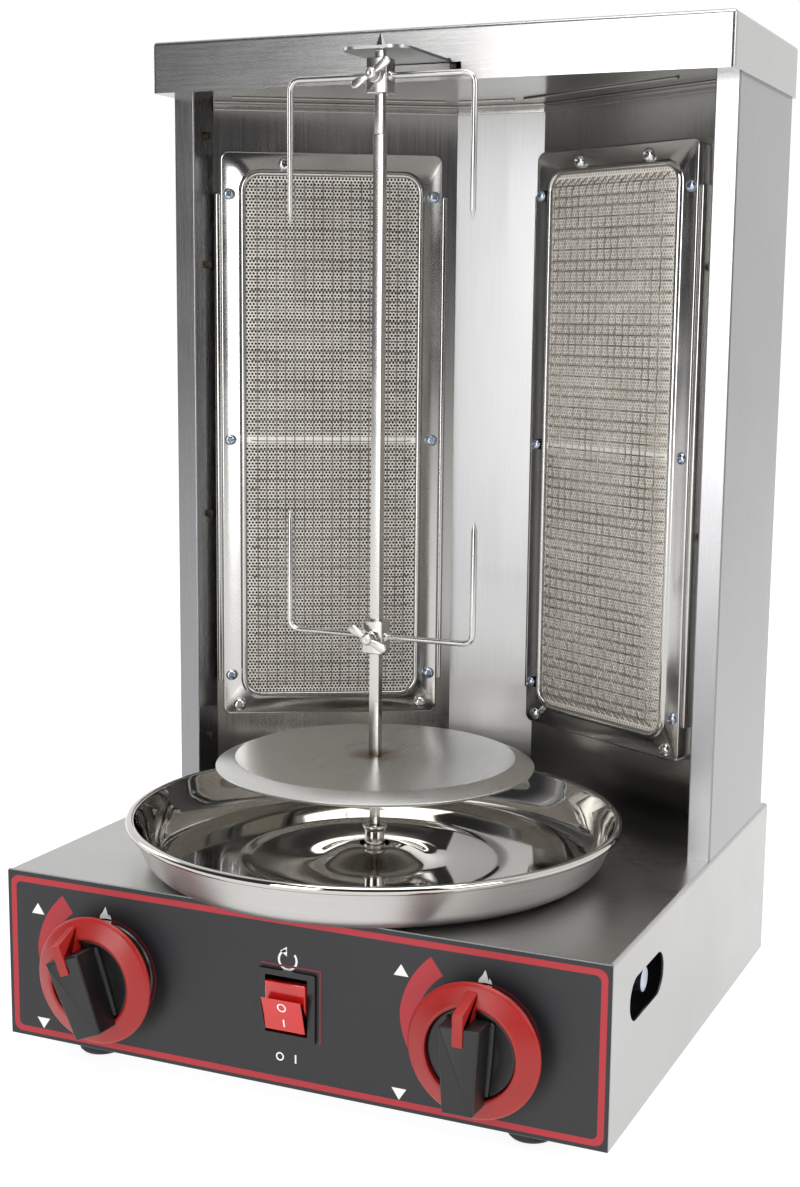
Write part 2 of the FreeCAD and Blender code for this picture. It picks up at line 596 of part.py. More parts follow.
# ---------------------------------------------------------------- gas train
valve_y = shell_front + 1.5
valve_end = feed_y + pipe_r + 6
plunger_y = shell_front + 26
valves, tubes, injectors = [], [], []
for side, way in SIDES:
    body = rod(f"valve_barrel_{side}", 9, valve_end - valve_y, way * knob_x, valve_y, knob_axis_z, "y")
    boss = rod(f"valve_boss_{side}", 6, slot_at_z - knob_axis_z - pipe_r + 0.5, way * knob_x, feed_y,
               knob_axis_z)
    stem_bore = rod(f"valve_bore_{side}", stem_r + running, plunger_y - valve_y + 2, way * knob_x,
                    valve_y - 1, knob_axis_z, "y")
    chamber = rod(f"valve_chamber_{side}", stem_r + 2 + running, 18, way * knob_x, plunger_y - 0.3,
                  knob_axis_z, "y")
    saddle = rod(f"valve_saddle_{side}", pipe_r, 40, way * knob_x - 20, feed_y, slot_at_z, "x")
    valves.append(cut(f"gas_valve_{side}", fuse(f"valve_body_{side}", body, boss), stem_bore,
                      chamber, saddle))
    node(f"valve_plunger_{side}", rod(f"valve_plunger_{side}", stem_r + 2, 12, way * knob_x,
                                      plunger_y, knob_axis_z, "y"))
    start = (way * knob_x, valve_end, knob_axis_z)
    route = [start, (way * knob_x, (valve_end + THROATS[way][1]) / 2, knob_axis_z),
             (*THROATS[way], knob_axis_z), (*THROATS[way], deck + 10)]
    tubes.append(solid(f"burner_tube_{side}", bent(route, tube_r, 14)))
    jet_top = burner_mid - box_h / 2 - 12
    injector = turned(f"injector_{side}", [(0, 0), (tube_r + 2, 0), (tube_r + 2, 12), (3, 14),
                                           (3, jet_top - deck - 10), (0, jet_top - deck - 10)])
    injectors.append(place(injector, *THROATS[way], deck + 10))
node("gas_valves", group("gas_valves", *valves))
node("burner_tubes", group("burner_tubes", *tubes))
node("injectors", group("injectors", *injectors))

manifold_end = knob_x + 34
manifold = rod("manifold_bar", pipe_r, 2 * manifold_end, -manifold_end, feed_y, slot_at_z, "x")
node("manifold_pipe", cut("manifold_pipe", manifold, rod("feed_seat", tube_r, 8, inlet_x,
                                                         feed_y + pipe_r - 2, slot_at_z, "y")))
plugs = []
plug_l = half - skin - plug_gap - manifold_end


def plug_part(name, radius, way, start, length):
    """One turned step of a manifold plug: start is its distance outward from the pipe's end."""
    near = manifold_end + start
    return rod(name, radius, length, near if way > 0 else -near - length, feed_y, slot_at_z, "x")


for side, way in SIDES:
    threads = [plug_part(f"plug_thread_{side}_{n}", plug_r - 0.4, way, 2 + 3 * n, 1.6) for n in range(4)]
    plugs.append(fuse(f"plug_{side}", plug_part(f"plug_core_{side}", plug_r - 1.4, way, 0, plug_l),
                      plug_part(f"plug_cap_{side}", plug_r, way, plug_l - 10, 10), *threads))
node("manifold_plugs", group("manifold_plugs", *plugs))

nipple = fuse("nipple", rod("nipple_thread", inlet_r, inlet_out + 20, inlet_x, back - 20,
                            inlet_at_z, "y"),
              rod("nipple_nut_inside", inlet_r + 4, 6, inlet_x, back - skin - 6, inlet_at_z, "y"),
              rod("nipple_nut_outside", inlet_r + 4, 5, inlet_x, back, inlet_at_z, "y"))
node("gas_inlet", cut("gas_inlet", nipple, rod("nipple_bore", 4, inlet_out + 10, inlet_x, back - 9,
                                               inlet_at_z, "y")))
feed_route = [(inlet_x, back - 20, inlet_at_z), (inlet_x, feed_y + 70, inlet_at_z),
              (inlet_x, feed_y + 45, slot_at_z), (inlet_x, feed_y + pipe_r - 2, slot_at_z)]
node("feed_tube", solid("feed_tube", bent(feed_route, tube_r, 12)))

# ---------------------------------------------------------------- electrics and drive
gland = turned("cord_gland", [(cord_r, -7), (gland_r - 2, -7), (gland_r - 2, 0), (gland_r, 0),
                              (gland_r, 5), (gland_r - 2.5, 12), (cord_r, 12)])
gland.Placement = FreeCAD.Placement(V(), FreeCAD.Rotation(X, -90))
node("cord_gland", place(gland, -gland_x, back, inlet_at_z))

motor_top = deck - motor_drop
plate_z = motor_top + 8
motor = fuse("motor_can", rod("motor_case", motor_r, motor_h, 0, axis_y, motor_top - motor_h),
             rod("gearbox_case", motor_r - 2, plate_z - motor_top, 0, axis_y, motor_top))
node("gear_motor", cut("gear_motor", motor, rod("gearbox_bore", shaft_r + running, 20, 0, axis_y,
                                                motor_top + 2)))
bridge = fuse("bridge", box("bridge_plate", (-45, 45), (axis_y - 20, axis_y + 20),
                            (plate_z, plate_z + 2)),
              box("bridge_leg_left", (-45, -43), (axis_y - 20, axis_y + 20), (plate_z, deck - skin)),
              box("bridge_leg_right", (43, 45), (axis_y - 20, axis_y + 20), (plate_z, deck - skin)),
              box("bridge_foot_left", (-58, -43), (axis_y - 20, axis_y + 20),
                  (deck - skin - 2, deck - skin)),
              box("bridge_foot_right", (43, 58), (axis_y - 20, axis_y + 20),
                  (deck - skin - 2, deck - skin)))
node("motor_bracket", cut("motor_bracket", bridge, rod("bridge_hole", shaft_r + 4, 10, 0, axis_y,
                                                       plate_z - 3)))
bush = turned("shaft_bush", [(shaft_r + running, -5), (bush_r, -5), (bush_r, 0), (bush_r + 3, 0),
                             (bush_r + 3, 1.2), (shaft_r + running, 1.2)])
node("shaft_bush", place(bush, 0, axis_y, deck))
node("drive_shaft", rod("drive_shaft", shaft_r, deck + 5 - motor_top - 2.3, 0, axis_y,
                        motor_top + 2.3))
cup = turned("socket_cup", [(0, 1.6), (socket_r, 1.6), (socket_r, socket_h - 3),
                            (socket_r + 1.1, socket_h - 1), (socket_r + 1.1, socket_h), (0, socket_h)])
place(cup, 0, axis_y, deck)
square_in = spit_end / 2 + spit_fit
node("drive_socket", cut("drive_socket", cup, rod("socket_bore", shaft_r, 5, 0, axis_y, deck),
                         box("socket_square", (-square_in, square_in),
                             (axis_y - square_in, axis_y + square_in),
                             (deck + socket_floor, deck + socket_h + 1))))

# ---------------------------------------------------------------- drip pan, spit and forks
inner = [(pan_hole_r, dome_h), (pan_hole_r + 5, dome_h - 0.3), (dome_r - 9, dome_h - 2.6),
         (dome_r, 2.2), (dome_r + 4, pan_t), (pan_foot_r - 0.5, pan_t), (pan_foot_r + 4.6, 2.5),
         (pan_foot_r + 8.6, 5.4), (pan_foot_r + 10.9, 8.6), (pan_r - 4, pan_h - 1.8),
         (pan_r - 3.4, pan_h), (pan_r, pan_h)]
outer = [(pan_r, pan_h - 2.4), (pan_r - 2.6, pan_h - 2.6), (pan_foot_r + 12, 8.2),
         (pan_foot_r + 9.5, 4.6), (pan_foot_r + 5, 1.4), (pan_foot_r, 0), (dome_r + 4, 0),
         (dome_r - 0.5, 1), (dome_r - 9.5, dome_h - 3.6), (pan_hole_r, dome_h - 1.1)]
pan = turned("drip_pan", inner + outer)
node("drip_pan", place(pan, 0, axis_y, deck + 0.3))


def square_bar(name, side, low, high):
    return box(name, (-side / 2, side / 2), (axis_y - side / 2, axis_y + side / 2), (low, high))


shoulder = nose_top - spit_nose
ground_point = bind(doc.addObject("Part::Cone", "spit_point"), Radius1=spit_end / 2, Radius2=point_r,
                    Height=spit_point)
place(ground_point, 0, axis_y, nose_top)
node("spit_rod", fuse("spit_rod",
                      square_bar("spit_tail", spit_end, deck + socket_floor + spit_fit, deck + disc_z),
                      square_bar("spit_middle", spit_side, deck + disc_z, shoulder),
                      square_bar("spit_nose", spit_end, shoulder, nose_top), ground_point))

disc_hole = end_corner + 0.1
disc = turned("meat_disc", [(disc_hole, 0), (disc_r - disc_bevel, 0), (disc_r, -disc_drop),
                            (disc_r - 0.5, -disc_drop - 1.4), (disc_r - disc_bevel - 0.2, -1.5),
                            (disc_hole + 3, -1.5), (disc_hole + 3, -9), (disc_hole, -9)])
node("meat_disc", place(disc, 0, axis_y, deck + disc_z))

square_hole = spit_side / 2 + spit_fit
boss_y = hub_side / 2 + 3.2
for name, level, prong, point in (("upper", upper_level, fork_len_up, -1),
                                  ("lower", lower_level, fork_len_low, 1)):
    block = box(f"hub_{name}", (-hub_side / 2, hub_side / 2),
                (axis_y - hub_side / 2, axis_y + hub_side / 2),
                (level - hub_h / 2, level + hub_h / 2))
    boss = rod(f"hub_boss_{name}", 4, 4.2, 0, axis_y - boss_y, level, "y")
    wires = []
    for side, way in SIDES:
        out = way * (fork_reach_long if (name, side) == ("lower", "right") else fork_reach)
        taper = level + point * (prong - 5)
        route = [(way * (hub_side / 2 - 1), axis_y, level), (out, axis_y, level), (out, axis_y, taper)]
        tip = Part.makeCone(number(wire_r), 0.3, 5, V(number(out), number(axis_y), number(taper)),
                            V(0, 0, point))
        wires.append(solid(f"prong_{name}_{side}", bent(route, wire_r, 6).fuse(tip)))
    joined = fuse(f"fork_body_{name}", block, boss, *wires)
    hole = box(f"hub_hole_{name}", (-square_hole, square_hole),
               (axis_y - square_hole, axis_y + square_hole), (level - hub_h, level + hub_h))
    tapped = rod(f"hub_thread_{name}", screw_r + running, boss_y + 1, 0, axis_y - boss_y - 1, level, "y")
    node(f"fork_{name}", cut(f"fork_{name}", joined, hole, tapped))
    grip = fuse(f"wing_{name}_body",
                rod(f"wing_shank_{name}", screw_r, boss_y - spit_side / 2, 0,
                    axis_y - boss_y - 0.3, level, "y"),
                rod(f"wing_head_{name}", 3.6, 6, 0, axis_y - boss_y - 6.3, level, "y"))
    blade = pressed(f"wing_blade_{name}", "XZ_Plane", [(-12.5, -1.5), (-11.5, 3.5), (-4, 2.6), (4, 2.6),
                    (11.5, 3.5), (12.5, -1.5), (8, -2.6), (3, -2), (-3, -2), (-8, -2.6)], 2)
    turn = 32 if name == "upper" else -28
    blade.Placement = FreeCAD.Placement(V(), FreeCAD.Rotation(V(0, -1, 0), turn))
    place(blade, 0, axis_y - boss_y - 2.6, level)
    node(f"wing_screw_{name}", fuse(f"wing_screw_{name}", grip, blade))

# ---------------------------------------------------------------- knobs and switch
bezels = []
tab_front = knob_out
bar_front = knob_out - 1.2
for side, way, turn in (("left", -1, number(knob_turn)), ("right", 1, 0.0)):
    ring = turned(f"ring_{side}", [(grip_r, 14), (grip_r, 19.5), (knob_r - 1.5, 15.4), (knob_r, 14.2),
                                   (knob_r, 13), (knob_r - 2, 12.6), (grip_r + 2, 13)])
    fin = pressed(f"fin_{side}", "YZ_Plane", [(18.3, 17.6), (23.2, 17.6), (23.2, 15.5), (31, 15.2),
                  (31, 17), (25.5, tab_front), (9.6, tab_front), (9.6, bar_front),
                  (18.3, bar_front)], 5.4, True)
    red = facing_out(fuse(f"knob_ring_{side}", ring, fin), way * knob_x, front, knob_axis_z, turn)
    node(f"knob_ring_{side}", red)
    hub = turned(f"knob_hub_{side}", [(0, 8), (8, 8), (8, knob_gap), (grip_r - 2, knob_gap),
                                      (grip_r - 2, 13), (grip_r, 14), (grip_r, 17.5), (0, 17.5)])
    bar = pressed(f"knob_bar_{side}", "XY_Plane", [(-10.3, 18.3), (10.3, 18.3), (9.4, 0), (8, -24.5),
                                                   (-8, -24.5), (-9.4, 0)], bar_front - 19.6)
    place(bar, 0, 0, 19.6)
    root = pressed(f"knob_bar_root_{side}", "XY_Plane", [(-10.3, 18.3), (10.3, 18.3), (9.4, 0),
                                                         (8, -20.5), (-8, -20.5), (-9.4, 0)], 4)
    place(root, 0, 0, 16)
    black = cut(f"knob_grip_{side}", fuse(f"knob_black_{side}", hub, bar, root),
                rod(f"knob_socket_{side}", stem_r, 10, 0, 0, 5))
    node(f"knob_grip_{side}", facing_out(black, way * knob_x, front, knob_axis_z, turn))
    node(f"valve_stem_{side}", rod(f"valve_stem_{side}", stem_r, plunger_y - 0.3 - front + 15,
                                   way * knob_x, front - 15, knob_axis_z, "y"))
    bezels.append(facing_out(turned(f"bezel_{side}", [(24, 0), (27, 0), (26.6, 1.2), (24.6, 1.2)]),
                             way * knob_x, front, knob_axis_z))
node("knob_bezels", group("knob_bezels", *bezels))

pivot_y = front + 7.8
window_h = bezel_h / 2 - 3
frame_plate = box("bezel_plate", (-bezel_w / 2, bezel_w / 2), (front - 2, front),
                  (knob_axis_z - bezel_h / 2, knob_axis_z + bezel_h / 2))
frame_plate = rounded("bezel_corners", frame_plate, 1.2, along_y)
rear_case = box("switch_case", (-case_w / 2, case_w / 2), (front, front + 26),
                (knob_axis_z - case_h / 2, knob_axis_z + case_h / 2))
window = box("bezel_window", (-rocker_w / 2 - 0.5, rocker_w / 2 + 0.5), (front - 3, front + 1),
             (knob_axis_z - window_h, knob_axis_z + window_h))
cavity = box("switch_cavity", (-rocker_w / 2 - 0.5, rocker_w / 2 + 0.5), (front, front + 22),
             (knob_axis_z - case_h / 2 + 0.6, knob_axis_z + case_h / 2 - 0.6))
node("switch_housing", cut("switch_housing", fuse("switch_body", frame_plate, rear_case), window,
                           cavity))
rocker = pressed("switch_rocker", "YZ_Plane", [(-14.2, 9.85), (-7.4, 15.2), (-2, 12.5), (2, 5),
                 (2, -5), (-2, -12.5), (-7.4, -15.2), (-14.2, -9.85)], rocker_w, True)
rocker.Placement = FreeCAD.Placement(V(), FreeCAD.Rotation(X, 15.9))
node("switch_rocker", place(rocker, 0, pivot_y, knob_axis_z))
tabs = [box(f"switch_tab_{n}", (-6.5 + 9 * (n % 2), -2.5 + 9 * (n % 2)), (front + 26, front + 35),
            (knob_axis_z - 9 + 14 * (n // 2), knob_axis_z - 8.2 + 14 * (n // 2))) for n in range(4)]
node("switch_tabs", group("switch_tabs", *tabs))

# ---------------------------------------------------------------- fasteners of the casing
fixings = []
return_y = 0.39 * (wall_y - flange)
for side, way in SIDES:
    for n, up in enumerate((35, 175, 325, 400)):
        start = way * bay_x - (2 if way > 0 else 0)
        fixings.append(rod(f"return_screw_{side}_{n}", 2.2, 2, start, wall_y - return_y, deck + up, "x"))
node("return_screws", group("return_screws", *fixings))
rear_screws = [rod(f"rear_screw_{n}", 3, 1.8, way * (col_x - 9), col_back, deck + up, "y")
               for n, (way, up) in enumerate([(w, u) for w in (-1, 1) for u in (15, 150, 280, 395)])]
rear_screws += [rod(f"base_screw_{n}", 3, 1.8, way * (half - 9), back, foot_h + up, "y")
                for n, (way, up) in enumerate([(w, u) for w in (-1, 1) for u in (12, 80)])]
node("casing_screws", group("casing_screws", *rear_screws))

# ---------------------------------------------------------------- check and write
doc.recompute()
bad = [thing.Name for thing in doc.Objects
       if {"Invalid", "Error"} & set(thing.State)]
for thing in nodes:
    if thing.Shape.isNull() or not thing.Shape.isValid() or not thing.Shape.Solids:
        bad.append(thing.Label + " has no sound shape")
if bad:
    sys.exit("not written: " + ", ".join(bad))
os.makedirs("parts", exist_ok=True)
for thing in nodes:
    thing.Shape.exportStep(os.path.join("parts", thing.Label + ".step"))
print(len(nodes), "pieces written")
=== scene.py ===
import bmesh
import bpy
import math
from mathutils import Matrix, Vector


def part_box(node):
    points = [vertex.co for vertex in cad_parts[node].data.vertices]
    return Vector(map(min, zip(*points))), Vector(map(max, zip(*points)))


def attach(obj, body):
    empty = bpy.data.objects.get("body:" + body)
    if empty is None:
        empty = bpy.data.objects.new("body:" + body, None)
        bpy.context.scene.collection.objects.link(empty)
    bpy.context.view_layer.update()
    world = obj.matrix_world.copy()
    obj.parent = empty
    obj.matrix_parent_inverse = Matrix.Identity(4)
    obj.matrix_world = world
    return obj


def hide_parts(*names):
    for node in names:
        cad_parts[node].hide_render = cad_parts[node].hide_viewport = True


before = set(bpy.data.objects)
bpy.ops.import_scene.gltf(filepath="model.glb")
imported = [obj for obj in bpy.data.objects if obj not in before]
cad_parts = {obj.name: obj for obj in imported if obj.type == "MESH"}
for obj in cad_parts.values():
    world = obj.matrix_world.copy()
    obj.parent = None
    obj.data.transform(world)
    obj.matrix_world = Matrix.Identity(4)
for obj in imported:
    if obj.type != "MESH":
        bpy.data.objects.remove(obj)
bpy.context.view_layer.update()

MM = 0.001

# ------------------------------------------------------------------ studio
# The grill stands on a pale seamless floor. The camera is at table height, to the right of the
# middle, with a tall softbox on its left whose edge falls across the front sheets, so the steel
# turns from grey on the left to white on the right.


def srgb(colour):
    """Turn a hex colour such as "#8a8d90" into the linear values that Blender works in."""
    parts = [int(colour[i:i + 2], 16) / 255 for i in (1, 3, 5)]
    return tuple(p / 12.92 if p <= 0.04045 else ((p + 0.055) / 1.055) ** 2.4 for p in parts) + (1.0,)


def add(tree, kind, settings=None, **links):
    """Add one node: settings go on the node, and each link goes to the socket of that name.
    A socket is given as its name or as sNUMBER; a value that isn't a socket is set on it."""
    made = tree.nodes.new(kind)
    for key, value in (settings or {}).items():
        setattr(made, key, value)
    for key, value in links.items():
        numbered = key[0] == "s" and key[1:].isdigit()
        socket = made.inputs[int(key[1:])] if numbered else made.inputs[key.replace("_", " ")]
        if isinstance(value, bpy.types.NodeSocket):
            tree.links.new(value, socket)
        else:
            socket.default_value = value
    return made


def ramp(tree, factor, *stops):
    """A colour ramp between (place, hex colour) stops."""
    made = add(tree, "ShaderNodeValToRGB", Fac=factor)
    while len(made.color_ramp.elements) < len(stops):
        made.color_ramp.elements.new(0.5)
    for element, (place, colour) in zip(made.color_ramp.elements, stops):
        element.position = place
        element.color = srgb(colour)
    return made.outputs["Color"]


scene = bpy.context.scene
scene.view_settings.view_transform = "Standard"
scene.view_settings.look = "None"

lens = bpy.data.cameras.new("studio_camera")
lens.lens = 54.7
lens.shift_x = -0.0036
lens.shift_y = 0.0252
lens.clip_end = 20
camera_spot, camera_round, camera_down, camera_roll = (0.4043, -0.9190, 0.3972), 24.0, 9.7, 0.0105
camera = bpy.data.objects.new("studio_camera", lens)
camera.matrix_world = (Matrix.Translation(camera_spot)
                       @ Matrix.Rotation(math.radians(camera_round), 4, "Z")
                       @ Matrix.Rotation(math.radians(90 - camera_down), 4, "X")
                       @ Matrix.Rotation(camera_roll, 4, "Z"))
scene.collection.objects.link(camera)
scene.camera = camera

floor_mesh = bpy.data.meshes.new("studio_floor")
floor_mesh.from_pydata([(-6, -6, 0), (6, -6, 0), (6, 6, 0), (-6, 6, 0)], [], [(0, 1, 2, 3)])
floor = bpy.data.objects.new("studio_floor", floor_mesh)
scene.collection.objects.link(floor)
paper = bpy.data.materials.new("seamless_paper")
paper.use_nodes = True
sheen = paper.node_tree.nodes["Principled BSDF"].inputs
sheen["Base Color"].default_value = srgb("#8c8c8d")
sheen["Roughness"].default_value = 0.8
sheen["Emission Color"].default_value = srgb("#ffffff")
sheen["Emission Strength"].default_value = 0.88
floor_mesh.materials.append(paper)

world = bpy.data.worlds.new("studio_room")
world.use_nodes = True
scene.world = world
sky = world.node_tree
where = add(sky, "ShaderNodeTexCoord").outputs["Generated"]
split = add(sky, "ShaderNodeSeparateXYZ", Vector=where)
behind = add(sky, "ShaderNodeMapRange", {"interpolation_type": "SMOOTHSTEP"}, Value=split.outputs["Y"],
             From_Min=-0.35, From_Max=0.25)
room = ramp(sky, behind.outputs["Result"], (0.0, "#3c3d40"), (1.0, "#ffffff"))
sky.links.new(room, sky.nodes["Background"].inputs["Color"])
sky.nodes["Background"].inputs["Strength"].default_value = 1.04


def softbox(name, spot, aim, width, height, watts, colour="#ffffff"):
    light = bpy.data.lights.new(name, "AREA")
    light.shape = "RECTANGLE"
    light.size = width
    light.size_y = height
    light.energy = watts
    light.color = srgb(colour)[:3]
    box = bpy.data.objects.new(name, light)
    box.location = spot
    box.rotation_euler = (Vector(aim) - Vector(spot)).to_track_quat("-Z", "Y").to_euler()
    scene.collection.objects.link(box)
    return box


softbox("front_softbox", (-0.42, -2.6, 0.75), (0.0, 0.0, 0.3), 0.95, 1.9, 33)
softbox("top_softbox", (0.3, -0.5, 2.3), (0.0, 0.0, 0.2), 1.8, 1.6, 40)
softbox("right_softbox", (2.4, -0.9, 1.4), (0.0, 0.0, 0.25), 1.2, 1.4, 20)
softbox("left_softbox", (-2.6, 0.2, 1.2), (0.0, 0.0, 0.25), 0.9, 1.4, 12)

# ------------------------------------------------------------------ base box
# A folded box of 1 mm 304 stainless, brushed with a fine belt, with a long slot in each side for
# the gas pipe. Its top is the deck that the pan stands on; cleaning marks run with the brushing.


def brushed(name, colour, along, roughness, grain=0.6, depth=0.10, cloud=0.25, aniso=0.0):
    """Brushed stainless: long fine scratches along one axis (or two, for a spun wall), soft stains,
    uneven gloss. grain is the scratch spacing in millimetres, coarser than the real 0.1 mm."""
    made = bpy.data.materials.new(name)
    made.use_nodes = True
    tree = made.node_tree
    shader = tree.nodes["Principled BSDF"]
    where = add(tree, "ShaderNodeTexCoord").outputs["Object"]
    fine, long = 1 / (grain * MM), 1 / (60 * grain * MM)
    stretch = add(tree, "ShaderNodeMapping", Vector=where,
                  Scale=[long if axis in along else fine for axis in "xyz"])
    scratch = add(tree, "ShaderNodeTexNoise", Vector=stretch.outputs["Vector"], Scale=1.0, Detail=3.0,
                  Roughness=0.65)
    stain = add(tree, "ShaderNodeTexNoise", Vector=where, Scale=9.0, Detail=4.0, Roughness=0.55)
    dark = [c * 0.80 for c in srgb(colour)[:3]] + [1]
    tone = add(tree, "ShaderNodeMix", {"data_type": "RGBA"}, s0=scratch.outputs["Fac"], s6=dark,
               s7=srgb(colour))
    tree.links.new(tone.outputs[2], shader.inputs["Base Color"])
    both = add(tree, "ShaderNodeMath", {"operation": "MULTIPLY_ADD"}, s0=stain.outputs["Fac"],
               s1=cloud, s2=roughness - cloud / 2)
    uneven = add(tree, "ShaderNodeMath", {"operation": "MULTIPLY_ADD"}, s0=scratch.outputs["Fac"],
                 s1=0.12, s2=both.outputs[0])
    tree.links.new(uneven.outputs[0], shader.inputs["Roughness"])
    relief = add(tree, "ShaderNodeBump", Strength=depth, Distance=0.05 * MM,
                 Height=scratch.outputs["Fac"])
    tree.links.new(relief.outputs["Normal"], shader.inputs["Normal"])
    shader.inputs["Metallic"].default_value = 1.0
    shader.inputs["Anisotropic"].default_value = aniso
    return made


def dress(material, *names):
    """Give CAD sheets and fittings their finish."""
    for name in names:
        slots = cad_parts[name].data.materials
        slots.clear()
        slots.append(material)


deck_steel = brushed("brushed_304_deck", "#b9b8b6", "x", 0.24, grain=0.5, depth=0.22)
dress(deck_steel, "base_shell")
mill_steel = brushed("mill_finish_430", "#a5a6a8", "z", 0.38, grain=0.9, depth=0.12)
dress(mill_steel, "base_back", "bottom_plate", "front_panel", "motor_bracket")

low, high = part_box("base_shell")
deck = high.z
floor_gap = low.z
half_width = high.x
panel_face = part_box("panel_overlay")[0].y

# ------------------------------------------------------------------ front panel print
# A charcoal overlay with a red frame, screen printed on 0.6 mm sheet and glued to the front. The
# plain marks stand for heat up, heat down, flame, turning and the switch. The inks lie 0.05 mm
# proud and are satin; the charcoal has the fine texture of screen ink.


def printed(name, colour, roughness, coat=0.0):
    """Screen ink over sheet steel: an even colour with faint mottling and a fine orange peel."""
    made = bpy.data.materials.new(name)
    made.use_nodes = True
    tree = made.node_tree
    shader = tree.nodes["Principled BSDF"]
    where = add(tree, "ShaderNodeTexCoord").outputs["Object"]
    mottle = add(tree, "ShaderNodeTexNoise", Vector=where, Scale=40.0, Detail=5.0)
    base = srgb(colour)
    tone = add(tree, "ShaderNodeMix", {"data_type": "RGBA"}, s0=mottle.outputs["Fac"],
               s6=[c * 0.88 for c in base[:3]] + [1], s7=[min(1, c * 1.10) for c in base[:3]] + [1])
    tree.links.new(tone.outputs[2], shader.inputs["Base Color"])
    peel = add(tree, "ShaderNodeTexNoise", Vector=where, Scale=1 / (0.5 * MM), Detail=2.0)
    relief = add(tree, "ShaderNodeBump", Strength=0.05, Distance=0.02 * MM, Height=peel.outputs["Fac"])
    tree.links.new(relief.outputs["Normal"], shader.inputs["Normal"])
    gloss = add(tree, "ShaderNodeMapRange", Value=mottle.outputs["Fac"], To_Min=roughness - 0.05,
                To_Max=roughness + 0.07)
    tree.links.new(gloss.outputs["Result"], shader.inputs["Roughness"])
    shader.inputs["IOR"].default_value = 1.5
    shader.inputs["Coat Weight"].default_value = coat
    return made


def arc(centre, radius, start, end, steps):
    """Points on an arc in degrees, from start to end."""
    return [(centre[0] + radius * math.cos(math.radians(start + (end - start) * i / steps)),
             centre[1] + radius * math.sin(math.radians(start + (end - start) * i / steps)))
            for i in range(steps + 1)]


def round_rect(half_w, half_h, radius, centre=(0.0, 0.0), steps=6):
    """The outline of a rectangle with round corners, counter-clockwise."""
    x, y = half_w - radius, half_h - radius
    outline = []
    for (cx, cy), start in zip(((x, y), (-x, y), (-x, -y), (x, -y)), (0, 90, 180, 270)):
        outline += arc((centre[0] + cx, centre[1] + cy), radius, start, start + 90, steps)
    return outline


def loops(bm, rings, close=True, caps=False):
    """Join rings of points, all with the same count, into a skin. Each ring is a closed loop."""
    made = [[bm.verts.new(p) for p in ring] for ring in rings]
    pairs = list(zip(made, made[1:])) + ([(made[-1], made[0])] if close else [])
    for one, two in pairs:
        for i in range(len(one)):
            j = (i + 1) % len(one)
            bm.faces.new((one[i], one[j], two[j], two[i]))
    if caps:
        bm.faces.new(made[0][::-1])
        bm.faces.new(made[-1])
    return made


def piece(name, bm, material, body="housing", replaced=(), sharp=35):
    """Finish a mesh: faces out, smooth except at real edges, on its body, with its finish."""
    bmesh.ops.remove_doubles(bm, verts=bm.verts, dist=0.002 * MM)
    bmesh.ops.recalc_face_normals(bm, faces=bm.faces)
    mesh = bpy.data.meshes.new(name)
    bm.to_mesh(mesh)
    bm.free()
    mesh.shade_smooth()
    mesh.set_sharp_from_angle(angle=math.radians(sharp))
    mesh.materials.append(material)
    made = bpy.data.objects.new(name, mesh)
    scene.collection.objects.link(made)
    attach(made, body)
    if replaced:
        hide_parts(*replaced)
    return made


ink_proud = 0.05 * MM


def on_panel(x, z, out=0.0):
    """A point on the panel's face, x and z in millimetres from the floor, out towards the front."""
    return Vector((x * MM, panel_face - out * MM, z * MM))


def decal(bm, outline, hole=None):
    """A patch of ink; with a hole it is the band between two outlines of equal count."""
    lift = ink_proud / MM
    rings = [[on_panel(x, z, 0) for x, z in outline], [on_panel(x, z, lift) for x, z in outline]]
    if hole:
        rings += [[on_panel(x, z, lift) for x, z in hole], [on_panel(x, z, 0) for x, z in hole]]
        loops(bm, rings)
    else:
        loops(bm, rings, close=False, caps=True)


charcoal = printed("charcoal_screen_ink", "#202023", 0.50)
dress(charcoal, "panel_overlay")
red_ink = printed("red_screen_ink", "#ae222d", 0.44)
dark_red_ink = printed("dark_red_screen_ink", "#7c1c26", 0.45)
white_ink = printed("white_screen_ink", "#f2f2f0", 0.45)

low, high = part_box("panel_overlay")
panel_mid = (low.z + high.z) / 2 / MM
panel_w, panel_h = high.x / MM, (high.z - low.z) / 2 / MM
border_in, border_w, border_r = 2.0, 3.3, 5.0
inks = bmesh.new()
outer = round_rect(panel_w - border_in, panel_h - border_in, border_r, (0, panel_mid))
inner = round_rect(panel_w - border_in - border_w, panel_h - border_in - border_w,
                   border_r - border_w + 1.4, (0, panel_mid))
decal(inks, outer, inner)
knob_low, knob_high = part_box("valve_stem_right")
knob_x = (knob_low.x + knob_high.x) / 2 / MM
knob_z = (knob_low.z + knob_high.z) / 2 / MM
for way in (-1, 1):
    edge, inside = [], []
    for i in range(33):
        angle = 127 + 103 * i / 32
        share = i / 32
        reach = 47.2 - 1.8 * share / 0.42 if share < 0.42 else 36.6 + 8.8 * (1 - share) / 0.58
        for outline, radius in ((edge, reach), (inside, 36.4)):
            outline += arc((way * knob_x, knob_z), radius, angle, angle, 1)[:1]
    decal(inks, edge + inside[::-1])
piece("panel_red_print", inks, red_ink)

